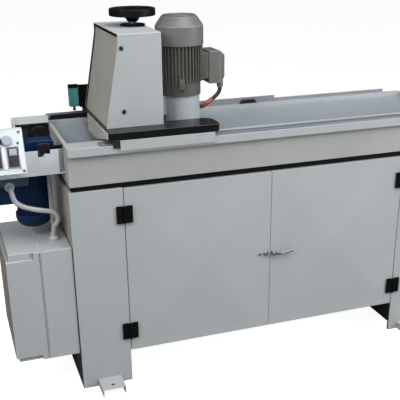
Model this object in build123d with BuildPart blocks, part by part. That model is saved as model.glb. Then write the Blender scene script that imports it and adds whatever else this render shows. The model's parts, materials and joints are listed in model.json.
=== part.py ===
from build123d import *

import os
from math import cos, pi, radians, sin, tan

# Automatic grinder for long planer knives. Two sheet-steel legs and a two-door cabinet carry a
# trough-shaped bed. A carriage with a vertical grinding head travels along the bed over a tilting
# knife bar, pulled by a chain from a geared motor on the left end. Millimetres, +Z up, the doors
# face -Y, and the origin lies on the floor at the middle of the machine's outline.

os.makedirs("parts", exist_ok=True)

# Legs and cabinet
leg_width = 185
leg_depth = 440
leg_height = 760
leg_sheet = 3
leg_side_inset = 40
leg_return = 10
door_bay = 555
control_reach = 320
right_overhang = 55
cabinet_floor_height = 131
panel_sheet = 3

# Foot lugs, folded as upside-down channels
lug_width = 86
lug_reach = 80
lug_height = 30
lug_sheet = 4
lug_inset = 99
lug_hole_radius = 6
lug_hole_reach = 52

# Doors, hinges and latch
door_bottom = 128
door_gap = 3
door_meeting_gap = 2
door_depth = 20
door_sheet = 2
door_crown = 11
door_border = 30
hinge_height = 62
hinge_thickness = 8
hinge_barrel_radius = 5
hinge_pin_radius = 2
hinge_web = 6
hinge_knuckles = 3
hinge_low_inset = 83
hinge_high_inset = 92
knuckle_gap = 0.5
running_clearance = 0.05
handle_height = 436
handle_setback = 12
handle_length = 80
handle_width = 10
handle_thickness = 9
handle_boss_radius = 10
handle_boss_height = 16
handle_spindle_radius = 5
handle_rise = 6
handle_standoff = 1
cam_gap = 3
cam_thickness = 4
cam_width = 16
cam_length = 40
face_gap = 0.3

# Bed: rim, apron, deep well at the front and a shelf that slopes up to the back
seal_height = 20
seal_inset = 12
seal_width = 45
bed_setback = 5
bed_back_reach = 5
bed_height = 134
rim_reach = 15
rim_height = 29
rim_width = 88
apron_sheet = 6
well_width = 152
shelf_drop = 48
bed_back_wall = 15
bed_end_wall = 14

# Guide rails and the rail that carries the trip dogs
rail_width = 32
rail_height = 6
rail_setback = 7
rail_left_inset = 115
rail_right_inset = 20
ledge_width = 18
ledge_height = 14
trip_sheet = 4
trip_drop = 34
trip_tall_rise = 24
trip_low_rise = 13
trip_step = 945
trip_right_inset = 21
dog_width = 10
left_dog_start = 11
left_dog_length = 145
left_dog_rise = 17
right_dog_start = 788
right_dog_length = 76
right_dog_rise = 15
dog_ramp = 13

# Chain drive
chain_width = 14
chain_plate = 14
chain_drop = 14
chain_inset = 18
chain_passage = 2.5
sprocket_pitch_radius = 30
sprocket_width = 10
sprocket_teeth = 14
sprocket_hub_radius = 15
sprocket_hub_reach = 7
gullet_radius = 3.2
drive_axis_reach = 62
drive_shaft_radius = 9
idler_inset = 60
idler_pin_radius = 7
idler_cheek = 6
idler_foot = 60
idler_cheek_rise = 15
drive_shaft_seat = 30

# Knife bar in the well
bar_height_above_well = 47
bar_inset = 92
bar_start = 505
bar_stop_inset = 185
bar_width = 78
bar_thickness = 34
bar_journal_radius = 14
bar_rest_tilt = 20
block_thickness = 20
block_width = 62
block_gap = 2
block_rise = 40
clamp_width = 34
clamp_thickness = 8
clamp_screw_radius = 4
clamp_screw_head = 3.5
clamp_screw_count = 9
hex_sides = 6
clamp_margin = 60
clamp_edge = 3
lock_length = 44
lock_radius = 5
lock_pivot_radius = 8
lock_across = 18
lock_up = 20

# Drive unit on the left end
bracket_sheet = 4
bracket_reach = 127
bracket_front = 66
bracket_back = 398
bracket_floor_drop = 96
bracket_front_drop = 15
bracket_back_rise = 29
bracket_lip = 22
bracket_trim = 3
bracket_front_gap = 12
notch_reach = 79.5
notch_width = 20
notch_drop = 22
notch_step_width = 21
notch_step_drop = 13
gearbox_width = 98
gearbox_depth = 62
gearbox_height = 102
gearbox_gap = 14
gearbox_inset = 18
gearbox_round = 10
gearbox_boss_radius = 24
gearbox_boss_reach = 10
drive_motor_radius = 56
drive_motor_reach = 100
drive_motor_depth = 180
drive_motor_length = 150
drive_motor_fin = 4
drive_motor_fin_thickness = 2.5
drive_motor_fin_count = 30
drive_motor_flange = 10
drive_cowl_radius = 63
drive_cowl_length = 48
drive_cowl_round = 36
drive_box_width = 62
drive_box_depth = 72
drive_box_height = 96
drive_box_drop = 14
drive_box_back = -22
clutch_arm_width = 18
clutch_thickness = 6
clutch_gap = 1
clutch_hub_radius = 15
grip_rise = 28
grip_width = 40
grip_height = 23
grip_thickness = 10
grip_round = 7
grip_shift = 2.5

# Control box and its sloping panel
panel_width = 194
panel_drop = 66
panel_rise = 136
panel_lean = 42
panel_plate = 3
lamp_radius = 15
lamp_height = 7
lamp_column = 52
lamp_row = 108
stop_column = 87
stop_radius = 14
stop_height = 12
stop_stem_radius = 8
stop_travel = 4
stop_gap = 0.5
stop_stem_depth = 25
rocker_width = 28
rocker_height = 58
rocker_depth = 10
rocker_gap = 1.5
rocker_proud = 3
rocker_bezel = 4
rocker_pin_radius = 2
rocker_pin_seat = 2
rocker_bezel_height = 3
rocker_right_column = 37
rocker_left_column = 91
rocker_row = 54

# Electrical enclosure on the left leg
enclosure_gap = 3
enclosure_front = 6
enclosure_depth = 350
enclosure_drop = 349
enclosure_height = 415
enclosure_body_width = 105
enclosure_lid_width = 119
enclosure_seam = 0.3
enclosure_wall = 3
lid_flange = 26
lid_step = 10
lid_top_band = 25
lid_bottom_band = 18
lid_hinge_inset = 80
spacer_radius = 9
spacer_inset = 40
contactor_width = 45
contactor_depth = 70
contactor_height = 85
contactor_pitch = 62
contactor_count = 3

# Conduits and glands
conduit_radius = 9
control_conduit_radius = 8
gland_radius = 12
gland_height = 16
gland_flange_radius = 14
gland_flange = 4
bend_share = 0.45
motor_gland_drop = 32
motor_gland_reach = 178
conduit_gland_reach = 48
conduit_gland_depth = 100
control_gland_reach = 42
control_gland_depth = 136
conduit_rise = 31
# The conduit's loop in steps from the motor's gland: to the right, forward and down
conduit_steps = ((0, 30, 0), (8, 30, 44), (40, 30, 66), (90.5, 30, 82), (138.5, 30, 93), (151.5, 27, 127))

# Carriage
carriage_start = 141
saddle_width = 214
base_overhang = 20
base_lift = 10
base_thickness = 27
bar_depth = 105
bar_length = 393
base_front_corner = 18
base_rear_corner = 36
saddle_back_gap = 2
skirt_sheet = 3.5
skirt_left_inset = 40
skirt_right_inset = 20
skirt_drop = 36
wiper_left_inset = 16
wiper_drop = 25
pad_length = 70
pad_inset = 60
rear_pad_inset = 20
splash_sheet = 4
splash_depth = 325
splash_back_drop = 62
splash_bend = 185
splash_bend_drop = 60
splash_front_drop = 19
clamp_lug_start = 95
clamp_lug_length = 40
clamp_lug_wall = 8
clamp_lug_reach = 9
chain_clearance = 0.6

# Column, cover and vertical feed
cover_setback = 65
cover_depth = 373
cover_sheet = 2
cover_height = 305
cover_shoulder = 32
cover_foot_inset = 10
cover_shoulder_inset = 62
cover_width_right = 5
panel_inset = 4
cover_panel_gap = 4
cover_screw_radius = 7.5
cover_screw_height = 4
cover_screw_column = 136
cover_screw_low = 53
cover_screw_high = 45
window_margin = 8
feed_rise = 45
column_width = 86
column_depth = 145
column_wall = 14
column_headroom = 22
column_face_inset = 24
screw_radius = 10
screw_foot = 45
screw_to_face = 16
screw_axis_back = 282
screw_collar_radius = 16
screw_collar = 8
nut_width = 34
nut_height = 36
nut_lift = 90
nut_margin = 18
handwheel_radius = 81
handwheel_rim_width = 13
handwheel_rim_height = 26
handwheel_hub_radius = 17
handwheel_hub_rise = 20
handwheel_web = 7
handwheel_dish = 10
handwheel_lift = 34
handwheel_neck_radius = 12
dial_radius = 44
dial_height = 6
dial_gap = 0.6
neck_gap = 1.5

# Grinding head
slide_thickness = 26
slide_width = 165
slide_height = 150
slide_lift = 28
adaptor_radius = 68
adaptor_wall = 14
adaptor_height = 102
adaptor_cap = 24
adaptor_bar_gap = 7
adaptor_lift = 18
arm_forward = 30
arm_behind = 62
arm_gap = 9
arm_back = 105
motor_gap = 14
shield_radius = 72
shield_height = 47
stator_radius = 73
stator_height = 124
motor_fin = 8
motor_fin_thickness = 3
motor_fin_count = 40
cowl_radius = 83.5
cowl_height = 96
cowl_chamfer_height = 33
cowl_chamfer = 23
cowl_sheet = 4
terminal_gasket = 9
terminal_gasket_inset = 6
terminal_width = 41
terminal_lid = 22
terminal_depth = 100
terminal_height = 112
terminal_taper = 18
terminal_lower = 12
terminal_pad = 3
cable_exit = 44
cable_forward = 35
cable_gland_radius = 11
spindle_radius = 12
fan_radius = 70
fan_hub_radius = 22
fan_hub_height = 30
fan_lift = 12
fan_blade_thickness = 3
fan_blade_count = 7
wheel_radius = 60
wheel_height = 40
wheel_rim = 16
wheel_back = 12
wheel_gap = 6
wheel_nut_radius = 20
wheel_nut_height = 5
motor_cable_radius = 7
# The motor cable in steps from its gland: to the left, back and down
cable_steps = (
    (0, 0, 16), (24, 0, 38), (57, 11, 63), (53, 50, 78), (61, 95, 83), (97, 140, 78), (147, 159, 61)
)
cable_end_left = 192
cable_end_back = 163
cable_end_drop = 53

# Limit switch at the rear left corner of the cover
switch_width = 36
switch_depth = 22
switch_height = 71
switch_reach = 46
switch_setback = 3
switch_plate = 6
switch_lift = 3
switch_frame = 10
switch_frame_width = 44
plunger_radius = 5
plunger_length = 12
plunger_travel = 5
plunger_socket = 22
roller_radius = 6
roller_width = 8

# Places that follow from the sizes above
base_length = 2 * (leg_width + door_bay)
left = -(base_length + right_overhang - control_reach) / 2
right = left + base_length
centre = left + base_length / 2
front = -leg_depth / 2
back = leg_depth / 2
bay_left = left + leg_width
bay_right = right - leg_width
leg_side = {"left": -1, "right": 1}

bed_left = left + bed_setback
bed_right = right + right_overhang
bed_back = back + bed_back_reach
bed_floor = leg_height + seal_height
rim_top = bed_floor + bed_height
rim_front = front - rim_reach
rim_inner = rim_front + rim_width
well_left = bed_left + bed_end_wall
well_right = bed_right - bed_end_wall
well_back = rim_inner + well_width
well_floor = bed_floor + apron_sheet
shelf_top = rim_top - shelf_drop
back_wall_face = bed_back - bed_back_wall
ledge_front = back_wall_face - ledge_width
ledge_bottom = rim_top - ledge_height

chain_y = rim_inner + chain_inset
chain_axis_z = rim_top - chain_drop - sprocket_pitch_radius
drive_axis_x = left - drive_axis_reach
idler_axis_x = right - idler_inset
chain_outer_radius = sprocket_pitch_radius + chain_plate / 2
chain_inner_radius = sprocket_pitch_radius - chain_plate / 2

bar_axis_y = rim_inner + bar_inset
bar_axis_z = well_floor + bar_height_above_well
bar_left = left + bar_start
bar_right = right - bar_stop_inset

base_bottom = rim_top + rail_height + base_lift
base_top = base_bottom + base_thickness
base_left = left + carriage_start
base_right = base_left + bar_length
base_front = front - base_overhang
bar_rear = base_front + bar_depth
saddle_right = base_left + saddle_width
saddle_back = back_wall_face - saddle_back_gap
cover_front = base_front + cover_setback
cover_back = cover_front + cover_depth
cover_right = saddle_right - cover_width_right
cover_top = base_top + cover_height
column_face = cover_right - column_face_inset
screw_x = column_face - screw_to_face
screw_y = base_front + screw_axis_back
motor_x = cover_right + motor_gap + cowl_radius
motor_y = bar_rear + adaptor_bar_gap + adaptor_radius
adaptor_bottom = rim_top + adaptor_lift
slide_bottom = base_top + slide_lift
adaptor_top = adaptor_bottom + adaptor_height
shield_top = adaptor_top + shield_height
stator_top = shield_top + stator_height
wheel_top = adaptor_bottom - wheel_gap
enclosure_right = left - enclosure_gap
enclosure_y = front + enclosure_front
enclosure_top = rim_top - enclosure_drop
enclosure_bottom = enclosure_top - enclosure_height
lid_right = enclosure_right - enclosure_body_width - enclosure_seam
lid_left = lid_right - enclosure_lid_width
control_left = left - control_reach
control_right = control_left + panel_width
control_back = front + bracket_front
bracket_floor = rim_top - bracket_floor_drop
bracket_front_top = rim_top - bracket_front_drop
bracket_back_top = rim_top + bracket_back_rise
panel_bottom = rim_top - panel_drop
knuckle = hinge_height / hinge_knuckles
barrel_side = hinge_barrel_radius + knuckle_gap
hinge_leaf = door_border - door_gap / 2 - barrel_side
lid_axis_x = lid_right + enclosure_seam / 2
lid_axis_wall = enclosure_y + enclosure_depth
lid_hinges = (enclosure_bottom + lid_hinge_inset, enclosure_top - lid_hinge_inset)


def block(x, y, z, mode=Mode.ADD):
    """Add a box between the low and high ends given for each axis."""
    with Locations(((x[0] + x[1]) / 2, (y[0] + y[1]) / 2, (z[0] + z[1]) / 2)):
        Box(x[1] - x[0], y[1] - y[0], z[1] - z[0], mode=mode)


def post(x, y, z, radius, mode=Mode.ADD):
    """Add an upright cylinder between two heights."""
    with Locations((x, y, (z[0] + z[1]) / 2)):
        Cylinder(radius, z[1] - z[0], mode=mode)


def rod_x(x, y, z, radius, mode=Mode.ADD):
    """Add a cylinder that lies along X."""
    with Locations(((x[0] + x[1]) / 2, y, z)):
        Cylinder(radius, x[1] - x[0], rotation=(0, 90, 0), mode=mode)


def rod_y(x, y, z, radius, mode=Mode.ADD):
    """Add a cylinder that lies along Y."""
    with Locations((x, (y[0] + y[1]) / 2, z)):
        Cylinder(radius, y[1] - y[0], rotation=(90, 0, 0), mode=mode)


def fixed_leaf(axis_x, wall_y, outward, side, middle_z):
    """Add a hinge's fixed leaf with its outer knuckles and pin, on a wall that faces outward along Y."""
    axis_y = wall_y + outward * hinge_thickness
    low = middle_z - hinge_height / 2
    high = middle_z + hinge_height / 2
    leaf = sorted((axis_x + side * barrel_side, axis_x + side * (barrel_side + hinge_leaf)))
    web = sorted((axis_x, axis_x + side * barrel_side))
    block(leaf, sorted((axis_y, wall_y)), (low, high))
    for knuckle_z in ((low, low + knuckle - knuckle_gap), (high - knuckle + knuckle_gap, high)):
        post(axis_x, axis_y, knuckle_z, hinge_barrel_radius)
        block(web, sorted((axis_y, axis_y - outward * hinge_web)), knuckle_z)
    post(axis_x, axis_y, (low, high), hinge_pin_radius)


def moving_leaf(axis_x, wall_y, outward, side, middle_z):
    """Add a hinge's moving leaf with the middle knuckle and its bore."""
    axis_y = wall_y + outward * hinge_thickness
    middle = (middle_z - knuckle / 2, middle_z + knuckle / 2)
    leaf = sorted((axis_x + side * barrel_side, axis_x + side * (barrel_side + hinge_leaf)))
    web = sorted((axis_x, axis_x + side * barrel_side))
    block(leaf, sorted((axis_y, wall_y)), (middle_z - hinge_height / 2, middle_z + hinge_height / 2))
    post(axis_x, axis_y, middle, hinge_barrel_radius)
    block(web, sorted((axis_y, axis_y - outward * hinge_web)), middle)
    post(axis_x, axis_y, middle, hinge_pin_radius + running_clearance, Mode.SUBTRACT)


def bend_radii(points):
    """Give each corner of a cord's route the widest bend that its shorter run allows."""
    radii = []
    for before, corner, after in zip(points, points[1:], points[2:]):
        run_in = Vector(*corner) - Vector(*before)
        run_out = Vector(*after) - Vector(*corner)
        half_turn = radians(run_in.get_angle(run_out)) / 2
        radii.append(bend_share * min(run_in.length, run_out.length) / tan(half_turn))
    return radii


# Legs: folded sheet boxes, closed on top, open towards the floor, with the side towards the doors set back
# behind the front sheet, whose edge is folded in as the doors' jamb
for side, outside in (("left", left), ("right", right)):
    outward = leg_side[side]
    jamb_x = outside - outward * leg_width
    side_x = jamb_x + outward * leg_side_inset
    with BuildPart() as leg:
        block(sorted((jamb_x, outside)), (front, back), (0, leg_height))
        sheets_y = (front + leg_sheet, back - leg_sheet)
        hollow_z = (0, leg_height - leg_sheet)
        hollow_x = sorted((side_x + outward * leg_sheet, outside - outward * leg_sheet))
        block(hollow_x, sheets_y, hollow_z, Mode.SUBTRACT)
        block(sorted((jamb_x, side_x)), sheets_y, hollow_z, Mode.SUBTRACT)
        block(sorted((jamb_x, jamb_x + outward * leg_sheet)), (front, front + leg_return), (0, leg_height))
    leg.part.label = f"{side}_leg"
    export_step(leg.part, f"parts/{side}_leg.step")

# Foot lugs at the front and back of each leg
with BuildPart() as foot_lugs:
    for lug_x in (left + lug_inset, right - lug_inset):
        lug_edges = (lug_x - lug_width / 2, lug_x + lug_width / 2)
        for lug_y, hole_y in (
            ((front - lug_reach, front), front - lug_hole_reach),
            ((back, back + lug_reach), back + lug_hole_reach),
        ):
            block(lug_edges, lug_y, (0, lug_height))
            hollow = (lug_edges[0] + lug_sheet, lug_edges[1] - lug_sheet)
            block(hollow, lug_y, (0, lug_height - lug_sheet), Mode.SUBTRACT)
            post(lug_x, hole_y, (0, lug_height), lug_hole_radius, Mode.SUBTRACT)
foot_lugs.part.label = "foot_lugs"
export_step(foot_lugs.part, "parts/foot_lugs.step")

# Cabinet floor and back
with BuildPart() as cabinet_floor:
    floor_y = (front + door_depth + door_gap, back - panel_sheet)
    floor_x = (bay_left - leg_side_inset, bay_right + leg_side_inset)
    block(floor_x, floor_y, (cabinet_floor_height, cabinet_floor_height + panel_sheet))
cabinet_floor.part.label = "cabinet_floor"
export_step(cabinet_floor.part, "parts/cabinet_floor.step")

with BuildPart() as cabinet_back:
    block((bay_left, bay_right), (back - panel_sheet, back), (cabinet_floor_height, leg_height))
cabinet_back.part.label = "cabinet_back"
export_step(cabinet_back.part, "parts/cabinet_back.step")

# Dark sealing frame between the legs and the bed
with BuildPart() as bed_seal:
    seal_x = (left + seal_inset, right - seal_inset)
    seal_y = (front + seal_inset, back - seal_inset)
    block(seal_x, seal_y, (leg_height, bed_floor))
    inner_x = (seal_x[0] + seal_width, seal_x[1] - seal_width)
    inner_y = (seal_y[0] + seal_width, seal_y[1] - seal_width)
    block(inner_x, inner_y, (leg_height, bed_floor), Mode.SUBTRACT)
bed_seal.part.label = "bed_seal"
export_step(bed_seal.part, "parts/bed_seal.step")

# Bed with its well, shelf, hollow underside and the chain's way through the left end wall
with BuildPart() as bed:
    block((bed_left, bed_right), (front, bed_back), (bed_floor, rim_top))
    block((bed_left, bed_right), (rim_front, front), (rim_top - rim_height, rim_top))
    inside = (well_left, well_right)
    block(inside, (rim_inner, well_back), (well_floor, rim_top), Mode.SUBTRACT)
    with BuildSketch(Plane.YZ.offset(well_left)):
        with BuildLine():
            Polyline(
                (well_back, rim_top),
                (well_back, shelf_top),
                (ledge_front, ledge_bottom),
                (back_wall_face, ledge_bottom),
                (back_wall_face, rim_top),
                close=True,
            )
        make_face()
    extrude(amount=well_right - well_left, mode=Mode.SUBTRACT)
    apron_hollow = (front + apron_sheet, rim_inner - apron_sheet)
    block(inside, apron_hollow, (bed_floor, rim_top - rim_height), Mode.SUBTRACT)
    with BuildSketch(Plane.YZ.offset(well_left)):
        with BuildLine():
            Polyline(
                (well_back + apron_sheet, bed_floor),
                (well_back + apron_sheet, shelf_top - apron_sheet),
                (ledge_front, ledge_bottom - apron_sheet),
                (back_wall_face, ledge_bottom - apron_sheet),
                (back_wall_face, bed_floor),
                close=True,
            )
        make_face()
    extrude(amount=well_right - well_left, mode=Mode.SUBTRACT)
    chain_way = chain_width / 2 + chain_passage
    chain_way_rise = chain_outer_radius + chain_passage
    block((bed_left, well_left), (chain_y - chain_way, chain_y + chain_way),
          (chain_axis_z - chain_way_rise, chain_axis_z + chain_way_rise), Mode.SUBTRACT)
bed.part.label = "bed"
export_step(bed.part, "parts/bed.step")

# Flat steel way on the rim, and the ledge that carries the carriage's rear pads
with BuildPart() as front_rail:
    rail_y = (rim_front + rail_setback, rim_front + rail_setback + rail_width)
    rail_x = (left + rail_left_inset, bed_right - rail_right_inset)
    block(rail_x, rail_y, (rim_top, rim_top + rail_height))
front_rail.part.label = "front_rail"
export_step(front_rail.part, "parts/front_rail.step")

with BuildPart() as rear_rail:
    block((well_left, well_right), (ledge_front, back_wall_face), (ledge_bottom, rim_top))
rear_rail.part.label = "rear_rail"
export_step(rear_rail.part, "parts/rear_rail.step")

# Sheet rail behind the bed, tall on the left and low on the right, and its two trip dogs
with BuildPart() as trip_rail:
    trip_y = (bed_back, bed_back + trip_sheet)
    trip_bottom = rim_top - trip_drop
    block((bed_left, left + trip_step), trip_y, (trip_bottom, rim_top + trip_tall_rise))
    block((left + trip_step, right - trip_right_inset), trip_y, (trip_bottom, rim_top + trip_low_rise))
trip_rail.part.label = "trip_rail"
export_step(trip_rail.part, "parts/trip_rail.step")

dog_back = bed_back - face_gap
for name, start, length, rise in (
    ("left_trip_dog", left_dog_start, left_dog_length, left_dog_rise),
    ("right_trip_dog", right_dog_start, right_dog_length, right_dog_rise),
):
    with BuildPart() as dog:
        with BuildSketch(Plane.XZ.offset(-dog_back)):
            with BuildLine():
                Polyline(
                    (left + start, rim_top),
                    (left + start + dog_ramp, rim_top + rise),
                    (left + start + length - dog_ramp, rim_top + rise),
                    (left + start + length, rim_top),
                    close=True,
                )
            make_face()
        extrude(amount=dog_width)
    dog.part.label = name
    export_step(dog.part, f"parts/{name}.step")

# Bearing blocks of the knife bar and the fork of the chain's idler, all on the well's floor
with BuildPart() as bed_brackets:
    block_top = bar_axis_z + block_rise
    for block_x in (bar_left - block_gap - block_thickness, bar_right + block_gap):
        edges = (block_x, block_x + block_thickness)
        block_y = (bar_axis_y - block_width / 2, bar_axis_y + block_width / 2)
        block(edges, block_y, (well_floor, block_top))
        bore = bar_journal_radius + running_clearance
        rod_x(edges, bar_axis_y, bar_axis_z, bore, Mode.SUBTRACT)
    fork_x = (idler_axis_x - idler_foot / 2, idler_axis_x + idler_foot / 2)
    fork_half = chain_width / 2 + chain_clearance
    block(fork_x, (chain_y - fork_half, chain_y + fork_half), (well_floor, well_floor + idler_cheek))
    for cheek in (chain_y - fork_half - idler_cheek, chain_y + fork_half):
        block(fork_x, (cheek, cheek + idler_cheek), (well_floor, chain_axis_z + idler_cheek_rise))
    rod_y(idler_axis_x, (chain_y - fork_half, chain_y + fork_half), chain_axis_z, idler_pin_radius)
bed_brackets.part.label = "bed_brackets"
export_step(bed_brackets.part, "parts/bed_brackets.step")

# Knife bar: a flat bar with journals, resting at a tilt, with its clamping strip and screws
bar_turn = radians(bar_rest_tilt)
bar_across = (0, cos(bar_turn), sin(bar_turn))
bar_up = (0, -sin(bar_turn), cos(bar_turn))
bar_section = Plane(origin=(bar_left, bar_axis_y, bar_axis_z), x_dir=bar_across, z_dir=(1, 0, 0))
bar_length_x = bar_right - bar_left
journal = block_gap + block_thickness

with BuildPart() as knife_bar:
    with BuildSketch(bar_section):
        Rectangle(bar_width, bar_thickness)
    extrude(amount=bar_length_x)
    rod_x((bar_left - journal, bar_left), bar_axis_y, bar_axis_z, bar_journal_radius)
    rod_x((bar_right, bar_right + journal), bar_axis_y, bar_axis_z, bar_journal_radius)
knife_bar.part.label = "knife_bar"
export_step(knife_bar.part, "parts/knife_bar.step")

clamp_across = clamp_edge + clamp_width / 2 - bar_width / 2
clamp_middle = bar_section.from_local_coords((clamp_across, bar_thickness / 2 + clamp_thickness, 0))
clamp_centre = (clamp_middle.X + bar_length_x / 2, clamp_middle.Y, clamp_middle.Z)
clamp_top = Plane(origin=clamp_centre, x_dir=(1, 0, 0), z_dir=bar_up)
clamp_pitch = (bar_length_x - 2 * clamp_margin) / (clamp_screw_count - 1)
with BuildPart() as knife_clamp:
    with BuildSketch(bar_section):
        with Locations((clamp_across, (bar_thickness + clamp_thickness) / 2)):
            Rectangle(clamp_width, clamp_thickness)
    extrude(amount=bar_length_x)
    with BuildSketch(clamp_top):
        with GridLocations(clamp_pitch, 0, clamp_screw_count, 1):
            RegularPolygon(clamp_screw_radius, hex_sides)
    extrude(amount=clamp_screw_head)
knife_clamp.part.label = "knife_clamp"
export_step(knife_clamp.part, "parts/knife_clamp.step")

# Lever on the right bearing block that locks the bar's tilt
lock_face = bar_right + block_gap + block_thickness + face_gap
lock_y = bar_axis_y + lock_across
lock_z = bar_axis_z + lock_up
with BuildPart() as table_lock:
    rod_x((lock_face, lock_face + 2 * lock_radius), lock_y, lock_z, lock_pivot_radius)
    post(lock_face + lock_radius, lock_y, (lock_z - lock_length, lock_z), lock_radius)
table_lock.part.label = "table_lock"
export_step(table_lock.part, "parts/table_lock.step")

# Carrier plates of the drive unit, on the bed's left end
with BuildPart() as drive_bracket:
    plate_left = left - bracket_reach
    plate_back = front + bracket_back
    floor_z = (bracket_floor - bracket_sheet, bracket_floor)
    plate_y = (control_back, control_back + bracket_sheet)
    plate_x = (control_left + bracket_trim, left - bracket_front_gap)
    block(plate_x, plate_y, (bracket_floor - bracket_sheet, bracket_front_top))
    notch_left = left - notch_reach
    notch_right = notch_left + notch_width
    block((notch_left, notch_right), plate_y,
          (bracket_front_top - notch_drop, bracket_front_top), Mode.SUBTRACT)
    block((notch_right, notch_right + notch_step_width), plate_y,
          (bracket_front_top - notch_step_drop, bracket_front_top), Mode.SUBTRACT)
    plate_face = plate_back - bracket_sheet
    block((plate_left, bed_left), (plate_face, plate_back), (bracket_floor, bracket_back_top))
    with BuildSketch(Plane.YZ.offset(plate_left + bracket_sheet)):
        with BuildLine():
            Polyline(
                (plate_face, bracket_back_top),
                (plate_face - bracket_lip, bracket_back_top - bracket_lip),
                (plate_face - bracket_lip, bracket_back_top - bracket_lip - bracket_sheet),
                (plate_face, bracket_back_top - bracket_sheet),
                close=True,
            )
        make_face()
    extrude(amount=bed_left - plate_left - bracket_sheet)
    block((plate_left, bed_left), (control_back, plate_back), floor_z)
    with BuildSketch(Plane.YZ.offset(plate_left)):
        with BuildLine():
            Polyline(
                (control_back, bracket_floor),
                (control_back, bracket_front_top),
                (plate_back, bracket_back_top),
                (plate_back, bracket_floor),
                close=True,
            )
        make_face()
    extrude(amount=bracket_sheet)
drive_bracket.part.label = "drive_bracket"
export_step(drive_bracket.part, "parts/drive_bracket.step")

# Reduction gearbox behind the chain
gearbox_front = chain_y + chain_width / 2 + gearbox_gap
gearbox_right = left - gearbox_inset
boss_front = gearbox_front - gearbox_boss_reach
shaft_bore = drive_shaft_radius + running_clearance
with BuildPart() as gearbox:
    gearbox_x = (gearbox_right - gearbox_width, gearbox_right)
    gearbox_y = (gearbox_front, gearbox_front + gearbox_depth)
    block(gearbox_x, gearbox_y, (bracket_floor, bracket_floor + gearbox_height))
    fillet(gearbox.edges().filter_by(Axis.Y).group_by(Axis.Z)[-1], gearbox_round)
    rod_y(drive_axis_x, (boss_front, gearbox_front), chain_axis_z, gearbox_boss_radius)
    rod_y(drive_axis_x, (boss_front, boss_front + drive_shaft_seat), chain_axis_z, shaft_bore, Mode.SUBTRACT)
gearbox.part.label = "gearbox"
export_step(gearbox.part, "parts/gearbox.step")

# Chain wheels, and the chain as one closed band around them
wheel_rim_radius = chain_inner_radius - chain_clearance
sprocket_y = (chain_y - sprocket_width / 2, chain_y + sprocket_width / 2)
clutch_front = control_back + bracket_sheet + clutch_gap
with BuildPart() as drive_sprocket:
    rod_y(drive_axis_x, sprocket_y, chain_axis_z, wheel_rim_radius)
    hub_front = sprocket_y[0] - sprocket_hub_reach
    rod_y(drive_axis_x, (hub_front, chain_y), chain_axis_z, sprocket_hub_radius)
    shaft_y = (clutch_front, boss_front + drive_shaft_seat - face_gap)
    rod_y(drive_axis_x, shaft_y, chain_axis_z, drive_shaft_radius)
    with BuildSketch(Plane.XZ.offset(-sprocket_y[1])):
        with Locations((drive_axis_x, chain_axis_z)):
            with PolarLocations(wheel_rim_radius, sprocket_teeth):
                Circle(gullet_radius)
    extrude(amount=sprocket_width, mode=Mode.SUBTRACT)
drive_sprocket.part.label = "drive_sprocket"
export_step(drive_sprocket.part, "parts/drive_sprocket.step")

with BuildPart() as idler_sprocket:
    rod_y(idler_axis_x, sprocket_y, chain_axis_z, wheel_rim_radius)
    with BuildSketch(Plane.XZ.offset(-sprocket_y[1])):
        with Locations((idler_axis_x, chain_axis_z)):
            with PolarLocations(wheel_rim_radius, sprocket_teeth):
                Circle(gullet_radius)
            Circle(idler_pin_radius + running_clearance)
    extrude(amount=sprocket_width, mode=Mode.SUBTRACT)
idler_sprocket.part.label = "idler_sprocket"
export_step(idler_sprocket.part, "parts/idler_sprocket.step")

with BuildPart() as drive_chain:
    chain_middle = (drive_axis_x + idler_axis_x) / 2
    with BuildSketch(Plane.XZ.offset(-chain_y - chain_width / 2)):
        with Locations((chain_middle, chain_axis_z)):
            SlotCenterToCenter(idler_axis_x - drive_axis_x, 2 * chain_outer_radius)
            SlotCenterToCenter(idler_axis_x - drive_axis_x, 2 * chain_inner_radius, mode=Mode.SUBTRACT)
    extrude(amount=chain_width)
drive_chain.part.label = "drive_chain"
export_step(drive_chain.part, "parts/drive_chain.step")

# Clutch lever on the front end of the drive shaft, with a wide grip above the carrier's front plate
with BuildPart() as clutch_lever:
    clutch_y = (clutch_front, clutch_front + clutch_thickness)
    grip_middle = drive_axis_x + grip_shift
    grip_bottom = chain_axis_z + grip_rise
    rod_y(drive_axis_x, clutch_y, chain_axis_z, clutch_hub_radius)
    block((drive_axis_x - clutch_arm_width / 2, drive_axis_x + clutch_arm_width / 2), clutch_y,
          (chain_axis_z, grip_bottom + grip_height / 2))
    with BuildSketch(Plane.XZ.offset(-clutch_front - grip_thickness)):
        with Locations((grip_middle, grip_bottom + grip_height / 2)):
            RectangleRounded(grip_width, grip_height, grip_round)
    extrude(amount=grip_thickness)
    rod_y(drive_axis_x, clutch_y, chain_axis_z, shaft_bore, Mode.SUBTRACT)
clutch_lever.part.label = "clutch_lever"
export_step(clutch_lever.part, "parts/clutch_lever.step")

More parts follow.
